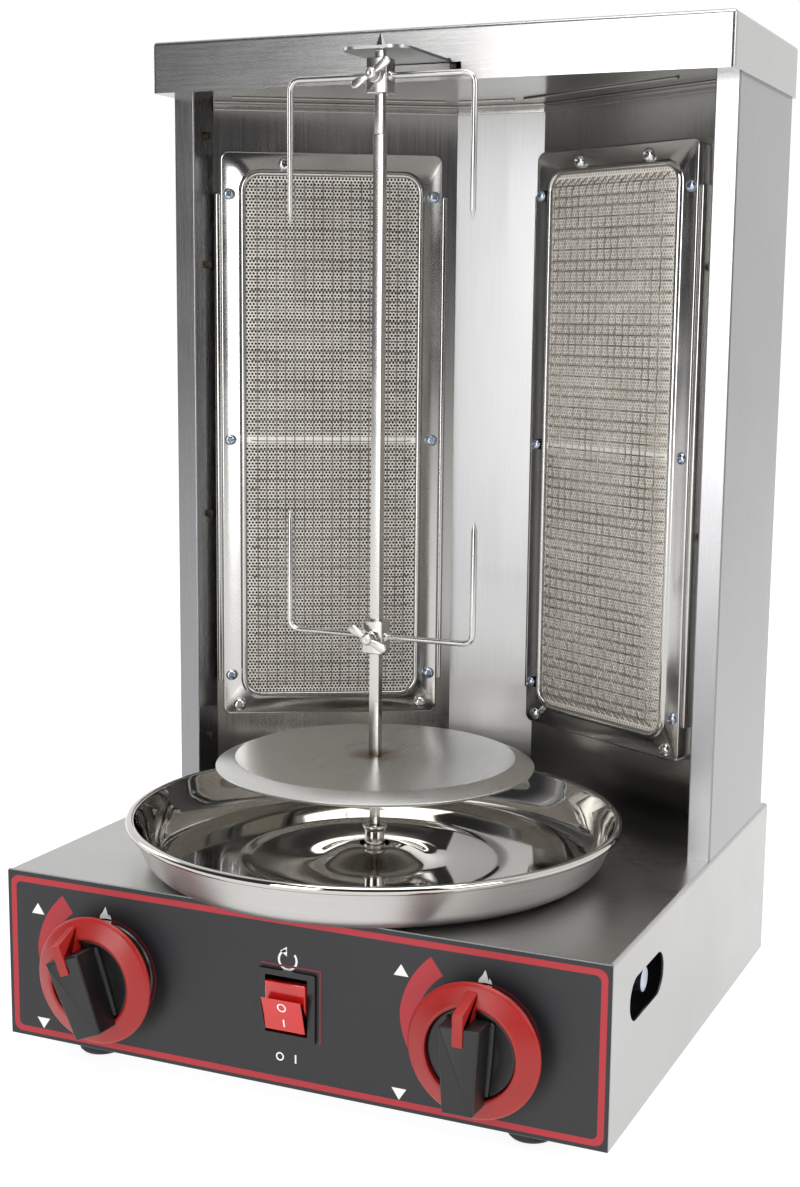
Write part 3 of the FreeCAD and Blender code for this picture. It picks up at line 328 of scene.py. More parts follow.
lines = bmesh.new()
switch_low, switch_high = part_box("switch_housing")
edge_x, edge_z = switch_high.x / MM, (switch_high.z - switch_low.z) / 2 / MM
right, up = edge_x + 1.6, edge_z + 1.6
decal(lines, [(right, knob_z - edge_z), (right + 0.9, knob_z - edge_z), (right + 0.9, knob_z + up + 0.9),
              (-edge_x + 1, knob_z + up + 0.9), (-edge_x + 1, knob_z + up), (right, knob_z + up)])
for way in (-1, 1):
    decal(lines, arc((way * knob_x, knob_z), 29.2, 0, 354, 59),
          arc((way * knob_x, knob_z), 28.2, 0, 354, 59))
piece("panel_thin_lines", lines, dark_red_ink)

marks = bmesh.new()
for x, z in ((-151, 81), (62.5, 81)):
    decal(marks, [(x - 4.0, z - 2.5), (x + 4.0, z - 2.5), (x, z + 3.5)])
for x, z in ((-149, 17.5), (62, 17.5)):
    decal(marks, [(x + 4.0, z + 2.5), (x - 4.0, z + 2.5), (x, z - 3.5)])
for x in (-knob_x - 1.5, knob_x):
    flame = [(0, 5.7), (-1.4, 3.0), (-3.4, 0.4), (-3.7, -2.2), (-2.6, -4.2), (-0.7, -5.0), (1.4, -4.9),
             (3.1, -3.7), (3.7, -1.7), (3.1, 0.7), (2.0, 1.8), (1.6, 0.1), (1.1, 2.5)]
    decal(marks, [(x + dx, 83 + dz) for dx, dz in flame])
turn_mid = (0, 76.5)
decal(marks, arc(turn_mid, 5.6, 100, 400, 30) + arc(turn_mid, 4.4, 400, 100, 30))
decal(marks, [(turn_mid[0] - 1 - (r - 5.0) * 0.9, turn_mid[1] + 5.0 + s - 0.6) for s, r in
              [(-2.6, 4.4), (0.0, 8.6), (2.6, 4.4)]])
decal(marks, arc((-4.5, 24.5), 2.3, 0, 354, 59), arc((-4.5, 24.5), 1.5, 0, 354, 59))
decal(marks, [(4, 22.2), (4.9, 22.2), (4.9, 26.8), (4, 26.8)])
piece("panel_white_marks", marks, white_ink)

# ------------------------------------------------------------------ knobs
# Each knob is two mouldings: a red ring with a pointer fin, and a black hub with a grip bar,
# pushed on a brass stem. Satin ABS with a fine texture and handling marks.


def moulded(name, colour, roughness, texture=0.35, coat=0.0):
    """Injection-moulded ABS: an even colour, a fine spark-eroded texture and handling marks."""
    made = bpy.data.materials.new(name)
    made.use_nodes = True
    tree = made.node_tree
    shader = tree.nodes["Principled BSDF"]
    where = add(tree, "ShaderNodeTexCoord").outputs["Object"]
    rub = add(tree, "ShaderNodeTexNoise", Vector=where, Scale=70.0, Detail=5.0, Roughness=0.6)
    base = srgb(colour)
    tone = add(tree, "ShaderNodeMix", {"data_type": "RGBA"}, s0=rub.outputs["Fac"],
               s6=[c * 0.86 for c in base[:3]] + [1], s7=[min(1, c * 1.12) for c in base[:3]] + [1])
    tree.links.new(tone.outputs[2], shader.inputs["Base Color"])
    pores = add(tree, "ShaderNodeTexNoise", Vector=where, Scale=1 / (texture * MM), Detail=2.0)
    relief = add(tree, "ShaderNodeBump", Strength=0.10, Distance=0.03 * MM,
                 Height=pores.outputs["Fac"])
    tree.links.new(relief.outputs["Normal"], shader.inputs["Normal"])
    gloss = add(tree, "ShaderNodeMapRange", Value=rub.outputs["Fac"], From_Min=0.3, From_Max=0.7,
                To_Min=roughness - 0.07, To_Max=roughness + 0.09)
    tree.links.new(gloss.outputs["Result"], shader.inputs["Roughness"])
    shader.inputs["IOR"].default_value = 1.53
    shader.inputs["Coat Weight"].default_value = coat
    return made


def eased(corners, radius, steps=4):
    """Round every corner of a closed outline by one radius, less where an edge is too short."""
    out = []
    count = len(corners)
    for i in range(count):
        before, here, after = (Vector(corners[(i + k) % count]) for k in (-1, 0, 1))
        come, leave = (before - here), (after - here)
        reach = min(radius, 0.45 * come.length, 0.45 * leave.length)
        a, b = here + come.normalized() * reach, here + leave.normalized() * reach
        for k in range(steps + 1):
            share = k / steps
            out.append(tuple((1 - share) ** 2 * a + 2 * share * (1 - share) * here + share ** 2 * b))
    return out


def lathe(bm, outline, matrix, steps=72):
    """Spin a closed outline of (radius, height) in millimetres round the matrix's own Z axis."""
    rings = []
    for i in range(steps):
        angle = 2 * math.pi * i / steps
        rings.append([matrix @ Vector((r * MM * math.cos(angle), r * MM * math.sin(angle), h * MM))
                      for r, h in outline])
    loops(bm, rings)


def slab(bm, outline, low, high, bevel, matrix, both=False):
    """A prism of an outline in the matrix's XY plane, its front edge (or both) eased."""
    middle = Vector((sum(p[0] for p in outline), sum(p[1] for p in outline))) / len(outline)

    def ring(shrink, height):
        drawn = []
        count = len(outline)
        for i in range(count):
            before, here, after = (Vector(outline[(i + k) % count]) for k in (-1, 0, 1))
            run = (after - before).normalized()
            inward = Vector((-run.y, run.x))
            if inward.dot(middle - here) < 0:
                inward = -inward
            spot = here + inward * shrink
            drawn.append(matrix @ Vector((spot.x * MM, spot.y * MM, height * MM)))
        return drawn

    rise = [(bevel * (1 - math.cos(a)), bevel * (1 - math.sin(a)))
            for a in (0.0, math.pi / 8, math.pi / 4, 3 * math.pi / 8, math.pi / 2)]
    front = [ring(inset, high - drop) for inset, drop in rise]
    foot = [ring(inset, low + drop) for inset, drop in rise][::-1] if both else [ring(0, low)]
    loops(bm, foot + front, close=False, caps=True)


red_abs = moulded("red_moulded_abs", "#9a1510", 0.38)
black_abs = moulded("black_moulded_abs", "#09090a", 0.40)
knob_turn = {"left": 22.0, "right": 0.0}
for side, way in (("left", -1), ("right", 1)):
    stand = (Matrix.Translation(on_panel(way * knob_x, knob_z)) @ Matrix.Rotation(math.pi / 2, 4, "X")
             @ Matrix.Rotation(math.radians(knob_turn[side]), 4, "Z"))
    ring = bmesh.new()
    lathe(ring, eased([(23, 14), (23, 19.5), (24.6, 19.6), (32.9, 15.6), (34.2, 14.4), (34.2, 13.2),
                       (32.2, 12.6), (25, 13)], 0.8), stand, 120)
    fin_turn = stand @ Matrix(((0, 0, 1, 0), (1, 0, 0, 0), (0, 1, 0, 0), (0, 0, 0, 1)))
    fin = eased([(9.6, 34.4), (18.4, 34.4), (18.4, 18.2), (31, 15.2), (30.6, 17.8), (25.5, 35.4),
                 (9.6, 35.4)], 0.5, 3)
    slab(ring, fin, -2.7, 2.7, 0.5, fin_turn, both=True)
    piece(f"knob_red_ring_{side}", ring, red_abs, f"knob_{side}", [f"knob_ring_{side}"], 30)

    grip = bmesh.new()
    lathe(grip, eased([(0.01, 8), (8, 8), (8, 5), (21, 5), (21, 13), (22.9, 14), (22.9, 17.1), (21.6, 17.6),
                       (14, 16.6), (0.01, 16.4)], 0.5), stand, 96)
    flank = eased([(-12.6, 17.8), (12.6, 17.8), (11.6, 0), (10, -20.2), (-10, -20.2), (-11.6, 0)], 1.4)
    bar = eased([(-10.4, 18.3), (10.4, 18.3), (9.4, 0), (8, -24.4), (-8, -24.4), (-9.4, 0)], 1.2)
    slab(grip, flank, 16.0, 19.4, 1.6, stand)
    slab(grip, bar, 18.2, 34.2, 1.1, stand)
    piece(f"knob_black_grip_{side}", grip, black_abs, f"knob_{side}",
          [f"knob_grip_{side}"], 30)

# ------------------------------------------------------------------ rocker switch
# A snap-in rocker: black nylon bezel, and a rocker of tinted red polycarbonate, glossy enough to
# catch the softbox along its ridge, with O and I marks pad printed in off-white.
switch_nylon = moulded("black_nylon", "#141416", 0.30)
dress(switch_nylon, "switch_housing", "cord_gland")
red_pc = moulded("red_tinted_polycarbonate", "#d5201c", 0.16, texture=0.9, coat=0.4)
red_pc.node_tree.nodes["Principled BSDF"].inputs["Transmission Weight"].default_value = 0.12
tilt = math.radians(15.9)
rocker_low, rocker_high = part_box("switch_rocker")
rocker_w = (rocker_high.x - rocker_low.x) / MM
pivot = Matrix.Translation(on_panel(0, knob_z, -7.8)) @ Matrix.Rotation(tilt, 4, "X")
side_on = pivot @ Matrix(((0, 0, 1, 0), (1, 0, 0, 0), (0, 1, 0, 0), (0, 0, 0, 1)))
rocker = bmesh.new()
face = [(-14.2, 9.85), (-13.9, 6), (-13.75, 0), (-13.9, -6), (-14.2, -9.85)]
slab(rocker, eased(face[::-1] + [(-7.4, -15.2), (-2, -12.5), (2, -5), (2, 5), (-2, 12.5), (-7.4, 15.2)],
                   0.7), -rocker_w / 2, rocker_w / 2, 0.7, side_on, both=True)
piece("rocker_red", rocker, red_pc, "rocker", ["switch_rocker"], 28)
signs = bmesh.new()
face_on = pivot @ Matrix.Translation((0, -13.86 * MM, 0)) @ Matrix.Rotation(math.pi / 2, 4, "X")


def raised(bm, outline, hole, height, matrix):
    """A low raised mark in the matrix's XY plane, a band if it has a hole."""
    rings = [[matrix @ Vector((x * MM, y * MM, h * MM)) for x, y in outline] for h in (-0.4, height)]
    if hole:
        rings += [[matrix @ Vector((x * MM, y * MM, h * MM)) for x, y in hole] for h in (height, -0.4)]
        loops(bm, rings)
    else:
        loops(bm, rings, close=False, caps=True)


raised(signs, arc((0, 4.6), 2.5, 0, 354, 59), arc((0, 4.6), 1.8, 0, 354, 59), 0.12, face_on)
raised(signs, [(-0.4, -7.4), (0.4, -7.4), (0.4, -2.6), (-0.4, -2.6)], None, 0.12, face_on)
piece("rocker_marks", signs, white_ink, "rocker")

# ------------------------------------------------------------------ feet
# Four round feet of dull black rubber, each held by a screw through its middle.
rubber = moulded("black_nitrile_rubber", "#26262a", 0.72, texture=0.6)
dress(rubber, "rubber_feet")

# ------------------------------------------------------------------ column and cap
# Folded brushed sheet: two sides with a front flange, a rear wall, two angled burner walls and a
# cap with a polished ceiling under it. An arm through the cap's slot steadies the spit. Grain runs
# upright on the column and across on the cap.
side_steel = brushed("brushed_304_column", "#979798", "z", 0.20, grain=0.55, depth=0.14, cloud=0.12)
dress(side_steel, "column_side_left", "column_side_right", "column_back")
cap_steel = brushed("brushed_304_cap", "#b9b8b7", "x", 0.20, grain=0.5, depth=0.18, cloud=0.16)
dress(cap_steel, "top_cap")
bay_steel = brushed("bright_304_bay", "#aeaca8", "z", 0.15, grain=1.4, depth=0.03, cloud=0.10)
dress(bay_steel, "burner_wall_left", "burner_wall_right", "ceiling_plate")
rear_steel = brushed("bright_304_rear_wall", "#b6b6b6", "z", 0.26, grain=0.9, depth=0.05, cloud=0.10)
dress(rear_steel, "rear_wall", "spit_arm")
box_steel = brushed("heat_tinted_burner_box", "#8d857a", "x", 0.42, grain=1.0)
dress(box_steel, "burner_box_left", "burner_box_right")

low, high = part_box("burner_frame_left")
burner_mid = (low.z + high.z) / 2
wall_top = (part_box("rear_wall")[1].z - burner_mid) / MM


def facing(node, way, depth):
    """Where a piece stands on its wall: +Z out of the sheet, X along it, from a node's own box,
    which stands out by the depth in millimetres."""
    low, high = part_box(node)
    turn = Matrix.Rotation(math.radians(-30 * way), 4, "Z")
    middle = Vector(((low.x + high.x) / 2, (low.y + high.y) / 2, burner_mid))
    return (Matrix.Translation(middle) @ turn @ Matrix.Translation((0, depth / 2 * MM, 0))
            @ Matrix.Rotation(math.pi / 2, 4, "X"))


walls = [(facing("burner_wall_left", -1, -1.0), 73.0), (facing("burner_wall_right", 1, -1.0), 73.0),
         (facing("rear_wall", 0, -1.0), 27.5)]
hem = bmesh.new()
for flat, half in walls:
    for low_z, high_z, out in ((-5.4, -1.5, 0.9), (-1.2, -0.1, 1.8)):
        slab(hem, [(-half, wall_top + low_z), (half, wall_top + low_z), (half, wall_top + high_z),
                   (-half, wall_top + high_z)], 0.02, out, 0.3, flat)
    slab(hem, [(10 - half, wall_top - 1.0), (half - 10, wall_top - 1.0), (half - 10, wall_top - 0.05),
               (10 - half, wall_top - 0.05)], 24.0, 26.0, 0.3, flat)
piece("wall_top_hem", hem, bay_steel)

# ------------------------------------------------------------------ burner frames
# A deep-drawn polished frame over each burner: a rolled lip round the mouth, and a pressed rib
# down each outer edge.


def polished(name, colour, roughness, scuff=0.10, tint=None):
    """Buffed stainless: mirror-like, with hairline swirl and a few cloudy wiping marks."""
    made = bpy.data.materials.new(name)
    made.use_nodes = True
    tree = made.node_tree
    shader = tree.nodes["Principled BSDF"]
    where = add(tree, "ShaderNodeTexCoord").outputs["Object"]
    haze = add(tree, "ShaderNodeTexNoise", Vector=where, Scale=22.0, Detail=6.0, Roughness=0.6)
    base = srgb(colour)
    tone = add(tree, "ShaderNodeMix", {"data_type": "RGBA"}, s0=haze.outputs["Fac"],
               s6=[c * 0.9 for c in base[:3]] + [1], s7=base)
    tree.links.new(tone.outputs[2], shader.inputs["Base Color"])
    gloss = add(tree, "ShaderNodeMapRange", Value=haze.outputs["Fac"], From_Min=0.3, From_Max=0.75,
                To_Min=roughness, To_Max=roughness + scuff)
    tree.links.new(gloss.outputs["Result"], shader.inputs["Roughness"])
    ripple = add(tree, "ShaderNodeTexNoise", Vector=where, Scale=38.0, Detail=1.0)
    relief = add(tree, "ShaderNodeBump", Strength=0.035, Distance=0.6 * MM, Height=ripple.outputs["Fac"])
    tree.links.new(relief.outputs["Normal"], shader.inputs["Normal"])
    shader.inputs["Metallic"].default_value = 1.0
    return made


frame_steel = polished("buffed_304_frame", "#bdbbb8", 0.13)
open_w, open_h = 52.0, 157.5
spots = {side: facing(f"burner_frame_{side}", way, 9.0) for side, way in (("left", -1), ("right", 1))}
for side in ("left", "right"):
    spot = spots[side]
    skin = bmesh.new()
    section = [(0.0, 0.0, 9.0, 5.0), (-0.3, -0.3, 8.7, 9.0), (0.1, 0.1, 9.1, 10.4), (1.2, 1.2, 10.2, 11.2),
               (2.6, 2.6, 11.6, 10.9), (3.5, 3.5, 12.5, 9.8), (4.2, 4.2, 13, 9.05), (13.9, 12.9, 4.2, 9.0),
               (14.6, 13.6, 4.8, 8.8), (15.0, 14.0, 5.0, 8.2), (15.0, 14.0, 5.0, 0.2),
               (14.2, 13.2, 4.2, 0.2), (14.2, 13.2, 4.2, 7.8), (1.0, 1.0, 9.5, 7.9)]
    loops(skin, [[spot @ Vector((x * MM, z * MM, out * MM))
                  for x, z in round_rect(open_w + dx, open_h + dz, radius, steps=8)]
                 for dx, dz, radius, out in section])
    for across in (-1, 1):
        rib = eased([(across * 66.6, -151.3), (across * 70.3, -151.3), (across * 70.3, 147.3),
                     (across * 66.6, 147.3)], 1.6)
        slab(skin, rib, 0.2, 7.9, 1.5, spot)
    piece(f"burner_frame_pressing_{side}", skin, frame_steel,
          replaced=[f"burner_frame_{side}"], sharp=50)

# ------------------------------------------------------------------ ceramic tiles
# Two cordierite tiles to a burner, pierced by rows of 1.4 mm holes on a 2.1 mm staggered pitch,
# off-white, with the faint warm-grey mottling of fired ceramic. The pin holes are painted shade:
# a flat dark colour in each hole, paler on the right tile, which is seen more side-on. A plain
# bright band of mortar fills the seam.


def pierced(name, spot, hole):
    """Fired cordierite with its staggered pin holes, laid out along one burner wall. hole is the
    colour of the painted shade deep in the pin holes."""
    made = bpy.data.materials.new(name)
    made.use_nodes = True
    tree = made.node_tree
    shader = tree.nodes["Principled BSDF"]
    where = add(tree, "ShaderNodeTexCoord").outputs["Object"]
    wall = add(tree, "ShaderNodeMapping", {"vector_type": "TEXTURE"}, Vector=where,
               Location=tuple(spot.translation), Rotation=tuple(spot.to_euler()))
    pitch = 2.1 * MM
    cell = (pitch, pitch * math.sqrt(3), 1.0)
    near = []
    for shift in (0.0, 0.5):
        scaled = add(tree, "ShaderNodeVectorMath", {"operation": "DIVIDE"}, s0=wall.outputs["Vector"],
                     s1=cell)
        moved = add(tree, "ShaderNodeVectorMath", {"operation": "ADD"}, s0=scaled.outputs["Vector"],
                    s1=(shift, shift, 0))
        part = add(tree, "ShaderNodeVectorMath", {"operation": "FRACTION"}, s0=moved.outputs["Vector"])
        centred = add(tree, "ShaderNodeVectorMath", {"operation": "SUBTRACT"}, s0=part.outputs["Vector"],
                      s1=(0.5, 0.5, 0.5))
        sized = add(tree, "ShaderNodeVectorMath", {"operation": "MULTIPLY"}, s0=centred.outputs["Vector"],
                    s1=(1.0, math.sqrt(3), 0.0))
        near.append(add(tree, "ShaderNodeVectorMath", {"operation": "LENGTH"},
                        s0=sized.outputs["Vector"]).outputs["Value"])
    nearest = add(tree, "ShaderNodeMath", {"operation": "MINIMUM"}, s0=near[0], s1=near[1])
    rim = add(tree, "ShaderNodeMapRange", Value=nearest.outputs[0], From_Min=0.29, From_Max=0.37)
    fired = add(tree, "ShaderNodeTexNoise", Vector=where, Scale=60.0, Detail=6.0, Roughness=0.7)
    clay = ramp(tree, fired.outputs["Fac"], (0.3, "#ddd8cf"), (0.7, "#f6f3ec"))
    # Painted shade: the clay colour gives way to the hole colour inside each pin hole.
    tone = add(tree, "ShaderNodeMix", {"data_type": "RGBA"}, s0=rim.outputs["Result"],
               s6=srgb(hole), s7=clay)
    tree.links.new(tone.outputs[2], shader.inputs["Base Color"])
    relief = add(tree, "ShaderNodeBump", Strength=0.6, Distance=0.8 * MM, Height=rim.outputs["Result"])
    tree.links.new(relief.outputs["Normal"], shader.inputs["Normal"])
    shader.inputs["Roughness"].default_value = 0.85
    return made


mortar = printed("plain_fired_mortar", "#f4f1ea", 0.85)
# Painted shade in the pin holes: near black on the left tile, pale grey on the right tile, where the holes
# are seen side-on.
for side, hole in (("left", "#161412"), ("right", "#b2aaa0")):
    clay = pierced(f"pierced_cordierite_{side}", spots[side], hole)
    tiles = bmesh.new()
    for low_z, high_z, out in ((-161.0, -1.0, 8.9), (1.0, 161.0, 8.9)):
        slab(tiles, [(-55.6, low_z), (55.6, low_z), (55.6, high_z), (-55.6, high_z)], -4.0, out, 0.5,
             spots[side], both=True)
    piece(f"burner_tiles_{side}", tiles, clay, replaced=[f"ceramic_tiles_{side}"])
    seam = bmesh.new()
    slab(seam, [(-55.4, -1.9), (55.4, -1.9), (55.4, 1.9), (-55.4, 1.9)], 8.0, 9.3, 0.4, spots[side])
    piece(f"tile_seam_{side}", seam, mortar)

# ------------------------------------------------------------------ guard meshes
# Woven stainless wire, 0.7 to 0.9 mm thick on a pitch of about 6 mm, dished over the tiles and
# clamped under the frame's lip. Each wire is crimped over and under its neighbours. Straw and
# brown heat tint.


def bar_along(bm, points, radius, sides=6, tip=None):
    """A round wire through the points, with an optional taper to a tip radius over its last one."""
    rings = []
    frame_side = None
    count = len(points)
    for i, point in enumerate(points):
        ahead = points[min(i + 1, count - 1)] - points[max(i - 1, 0)]
        ahead.normalize()
        if frame_side is None:
            frame_side = ahead.orthogonal().normalized()
        frame_side = (frame_side - ahead * frame_side.dot(ahead)).normalized()
        other = ahead.cross(frame_side)
        size = tip if tip is not None and i == count - 1 else radius
        rings.append([point + (frame_side * math.cos(2 * math.pi * k / sides)
                               + other * math.sin(2 * math.pi * k / sides)) * size
                      for k in range(sides)])
    loops(bm, rings, close=False, caps=True)


def heat_tinted(name, base, straw, roughness):
    """Stainless wire that has been hot: straw and brown oxide in patches over the bright metal."""
    made = bpy.data.materials.new(name)
    made.use_nodes = True
    tree = made.node_tree
    shader = tree.nodes["Principled BSDF"]
    where = add(tree, "ShaderNodeTexCoord").outputs["Object"]
    patch = add(tree, "ShaderNodeTexNoise", Vector=where, Scale=30.0, Detail=4.0)
    tone = ramp(tree, patch.outputs["Fac"], (0.35, straw), (0.62, base))
    tree.links.new(tone, shader.inputs["Base Color"])
    scale = add(tree, "ShaderNodeTexNoise", Vector=where, Scale=900.0, Detail=2.0)
    gloss = add(tree, "ShaderNodeMapRange", Value=scale.outputs["Fac"], To_Min=roughness - 0.1,
                To_Max=roughness + 0.15)
    tree.links.new(gloss.outputs["Result"], shader.inputs["Roughness"])
    shader.inputs["Metallic"].default_value = 1.0
    return made


wire_finish = {"left": heat_tinted("heat_tinted_wire_left", "#a39d92", "#6f665b", 0.34),
               "right": heat_tinted("heat_tinted_wire_right", "#c0bbb2", "#948c81", 0.34)}
wire_r = {"left": 0.34, "right": 0.44}
crimp = 0.42
reach_x, reach_z = open_w - 1.2, open_h - 1.2
mesh_top = 15.2


def dish(x, z):
    """How far the mesh stands out of the wall, in millimetres, at a place on the burner."""
    edge = min(reach_x - abs(x), reach_z - abs(z))
    share = min(max(edge / 9.0, 0.0), 1.0)
    return 5.6 + (mesh_top - 0.5 - 5.6) * math.sin(share * math.pi / 2) ** 0.8


for side in ("left", "right"):
    weave = bmesh.new()
    across_count, along_count = 18, 52
    pitch_x, pitch_z = 2 * reach_x / across_count, 2 * reach_z / along_count
    for upright, lines_count, run_count, pitch, run_pitch in (
            (True, across_count, along_count, pitch_x, pitch_z),
            (False, along_count, across_count, pitch_z, pitch_x)):
        reach = reach_x if upright else reach_z
        for n in range(lines_count + 1):
            at = max(min(-reach + n * pitch, reach), -reach)
            wander = 0.25 * math.sin(2.1 * n + (1.3 if upright else 0.2))
            path = []
            for k in range(run_count * 4 + 1):
                along = -(reach_z if upright else reach_x) + k * run_pitch / 4
                wave = math.cos(math.pi * k / 4 + math.pi * n) * (1 if upright else -1)
                x, z = (at + wander, along) if upright else (along, at + wander)
                x, z = max(min(x, reach_x), -reach_x), max(min(z, reach_z), -reach_z)
                path.append(spots[side] @ Vector((x * MM, z * MM, (dish(x, z) + crimp * wave) * MM)))
            bar_along(weave, path, wire_r[side] * MM, 5)
    piece(f"guard_weave_{side}", weave, wire_finish[side], replaced=[f"guard_mesh_{side}"],
          sharp=80)

# ------------------------------------------------------------------ burner screws
# Cross-recess pan heads: blue-white zinc plate on the six that clamp each burner, bright chrome
# on the four that hold each frame.


def pan_head(head_r, head_t, recess=0.62):
    """A pan-head screw's head with its cross recess, standing on the XY plane."""
    bm = bmesh.new()
    lathe(bm, eased([(0.01, 0), (head_r, 0), (head_r, head_t * 0.45), (head_r * 0.62, head_t),
                     (0.01, head_t)], head_t * 0.35, 5), Matrix.Identity(4), 28)
    bmesh.ops.remove_doubles(bm, verts=bm.verts, dist=0.01 * MM)
    bmesh.ops.recalc_face_normals(bm, faces=bm.faces)
    mesh = bpy.data.meshes.new("pan_head_blank")
    bm.to_mesh(mesh)
    bm.free()
    blank = bpy.data.objects.new("pan_head_blank", mesh)
    scene.collection.objects.link(blank)
    cutter_bm = bmesh.new()
    long, thin = head_r * recess, head_r * 0.13
    cross = [(thin, thin), (long, thin), (long, -thin), (thin, -thin), (thin, -long), (-thin, -long),
             (-thin, -thin), (-long, -thin), (-long, thin), (-thin, thin), (-thin, long), (thin, long)]
    rings = [[Vector((x * MM * grow, y * MM * grow, h * MM)) for x, y in cross]
             for h, grow in ((head_t * 0.45, 0.55), (head_t * 1.3, 1.15))]
    loops(cutter_bm, rings, close=False, caps=True)
    bmesh.ops.recalc_face_normals(cutter_bm, faces=cutter_bm.faces)
    cutter_mesh = bpy.data.meshes.new("cross_recess")
    cutter_bm.to_mesh(cutter_mesh)
    cutter_bm.free()
    cutter = bpy.data.objects.new("cross_recess", cutter_mesh)
    scene.collection.objects.link(cutter)
    carve = blank.modifiers.new("recess", "BOOLEAN")
    carve.object = cutter
    carve.operation = "DIFFERENCE"
    carve.solver = "EXACT"
    shaped = bpy.data.meshes.new_from_object(blank.evaluated_get(bpy.context.evaluated_depsgraph_get()))
    bpy.data.objects.remove(blank)
    bpy.data.objects.remove(cutter)
    return shaped


def set_screws(name, head, places, material, replaced, body="housing"):
    """Copy one head to every place, each place a matrix whose Z points out of the sheet."""
    bm = bmesh.new()
    for place in places:
        start = len(bm.verts)
        bm.from_mesh(head)
        bm.verts.ensure_lookup_table()
        bmesh.ops.transform(bm, matrix=place, verts=bm.verts[start:])
    return piece(name, bm, material, body, replaced, 40)


zinc = polished("blue_white_zinc_plate", "#b9c4d2", 0.20, 0.15)
chrome = polished("bright_chrome_plate", "#d0d0cf", 0.08, 0.08)
clamp_places, frame_places = [], []
for side in ("left", "right"):
    for n, up in enumerate((-146.5, 0, 146.5)):
        for across in (-62, 62):
            clamp_places.append(spots[side] @ Matrix.Translation((across * MM, up * MM, 9.0 * MM))
                                @ Matrix.Rotation(0.7 * n + across, 4, "Z"))
    for across, up in ((-57, -165.5), (57, -165.5), (-28.5, 164.5), (28.5, 164.5)):
        frame_places.append(spots[side] @ Matrix.Translation((across * MM, up * MM, 9.0 * MM))
                            @ Matrix.Rotation(0.4 + across * 0.3, 4, "Z"))
set_screws("burner_clamp_pan_heads", pan_head(3.4, 2.3), clamp_places, zinc,
           ["burner_clamp_screws"])
set_screws("burner_frame_pan_heads", pan_head(3.9, 2.5), frame_places, chrome,
           ["burner_frame_screws"])

# ------------------------------------------------------------------ casing screws
# Zinc pan heads down both edges of the back, and small dark screws on the column's returns.
back_places = []
column_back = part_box("column_back")[1].y
base_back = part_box("base_back")[1].y
column_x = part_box("column_side_right")[1].x
for way in (-1, 1):
    for up in (15, 150, 280, 395):
        back_places.append((way * (column_x - 9 * MM), column_back, deck + up * MM))
    for up in (12, 80):
        back_places.append((way * (half_width - 9 * MM), base_back, floor_gap + up * MM))
face_back = Matrix.Rotation(-math.pi / 2, 4, "X")
set_screws("casing_pan_heads", pan_head(3.0, 1.7),
           [Matrix.Translation(place) @ face_back @ Matrix.Rotation(0.5 * n, 4, "Z")
            for n, place in enumerate(back_places)], zinc, ["casing_screws"])
smoked = polished("smoked_steel_screw", "#5a4f45", 0.35, 0.2)
dress(smoked, "return_screws")

# ------------------------------------------------------------------ drip pan
# Spun from 1 mm stainless: a rolled rim, a steep wall, a stepped floor and a raised dome with a
# hole for the drive. The inside is buffed to a mirror and the outer wall keeps its spinning lines.
pan_low, pan_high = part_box("drip_pan")
axis = Vector((0, (pan_low.y + pan_high.y) / 2, pan_low.z))
stand = Matrix.Translation(axis)
pan_steel = polished("buffed_304_pan", "#c6c3bd", 0.035, 0.05)
inner = [(8.5, 9.0), (13.5, 8.7), (21, 6.4), (28, 2.9), (34, 1.1), (42, 1.0), (67, 1.0), (69, 1.3),
         (71.5, 2.2), (75, 2.4), (106, 2.4), (112, 2.8), (117, 4.1), (121, 6.4), (124.5, 10.2),
         (128, 17.5), (130.6, 24.6)]
rim = [(131.4, 26.2)] + [(133.4 + 2.3 * math.cos(math.radians(a)), 24.7 + 2.3 * math.sin(math.radians(a)))
                         for a in range(140, -100, -20)]
wall = [(132.6, 23.4), (126.5, 8.6), (125.7, 6.9), (124.0, 4.7), (121.9, 2.9), (119.3, 1.5), (116.6, 0.5),
        (114.4, 0.1)]
foot = [(113.9, 0.4), (34, 0.4), (28.5, 1.9), (20.6, 5.5), (8.5, 8.1)]
pan = bmesh.new()
lathe(pan, inner + rim + [(r - 0.4, h + 0.1) for r, h in wall] + foot, stand, 180)
piece("drip_pan_spun", pan, pan_steel, "pan", ["drip_pan"], 60)
wall_steel = brushed("spun_304_pan_wall", "#cbc9c6", "xy", 0.30, grain=0.8, depth=0.10, cloud=0.08)
skin = bmesh.new()
lathe(skin, wall + [(110, 0.02), (110, 0.3)] + [(r - 0.5, h + 0.2) for r, h in wall[::-1]], stand, 180)
piece("drip_pan_outer_wall", skin, wall_steel, "pan", sharp=40)

# ------------------------------------------------------------------ meat disc and spit
# A flat disc with a sloping edge, belt-brushed straight across, brown from heat near the middle,
# and a square spit of bright bar with a thinner tail and nose, the nose ground to a point above
# the arm that steadies it.
disc_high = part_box("meat_disc")[1]
disc_steel = brushed("brushed_304_disc", "#cbcac7", "y", 0.24, grain=0.8, depth=0.26, cloud=0.10)
tree = disc_steel.node_tree
where = add(tree, "ShaderNodeTexCoord").outputs["Object"]
moved = add(tree, "ShaderNodeMapping", Vector=where, Location=(0, -axis.y, -disc_high.z))
reach = add(tree, "ShaderNodeVectorMath", {"operation": "LENGTH"}, s0=moved.outputs["Vector"])
patchy = add(tree, "ShaderNodeTexNoise", Vector=where, Scale=120.0, Detail=4.0)
wobble = add(tree, "ShaderNodeMath", {"operation": "MULTIPLY_ADD"}, s0=patchy.outputs["Fac"],
             s1=14 * MM, s2=reach.outputs["Value"])
near = add(tree, "ShaderNodeMapRange", {"interpolation_type": "SMOOTHSTEP"}, Value=wobble.outputs[0],
           From_Min=9 * MM, From_Max=26 * MM)
shader = tree.nodes["Principled BSDF"]
plain = shader.inputs["Base Color"].links[0].from_socket
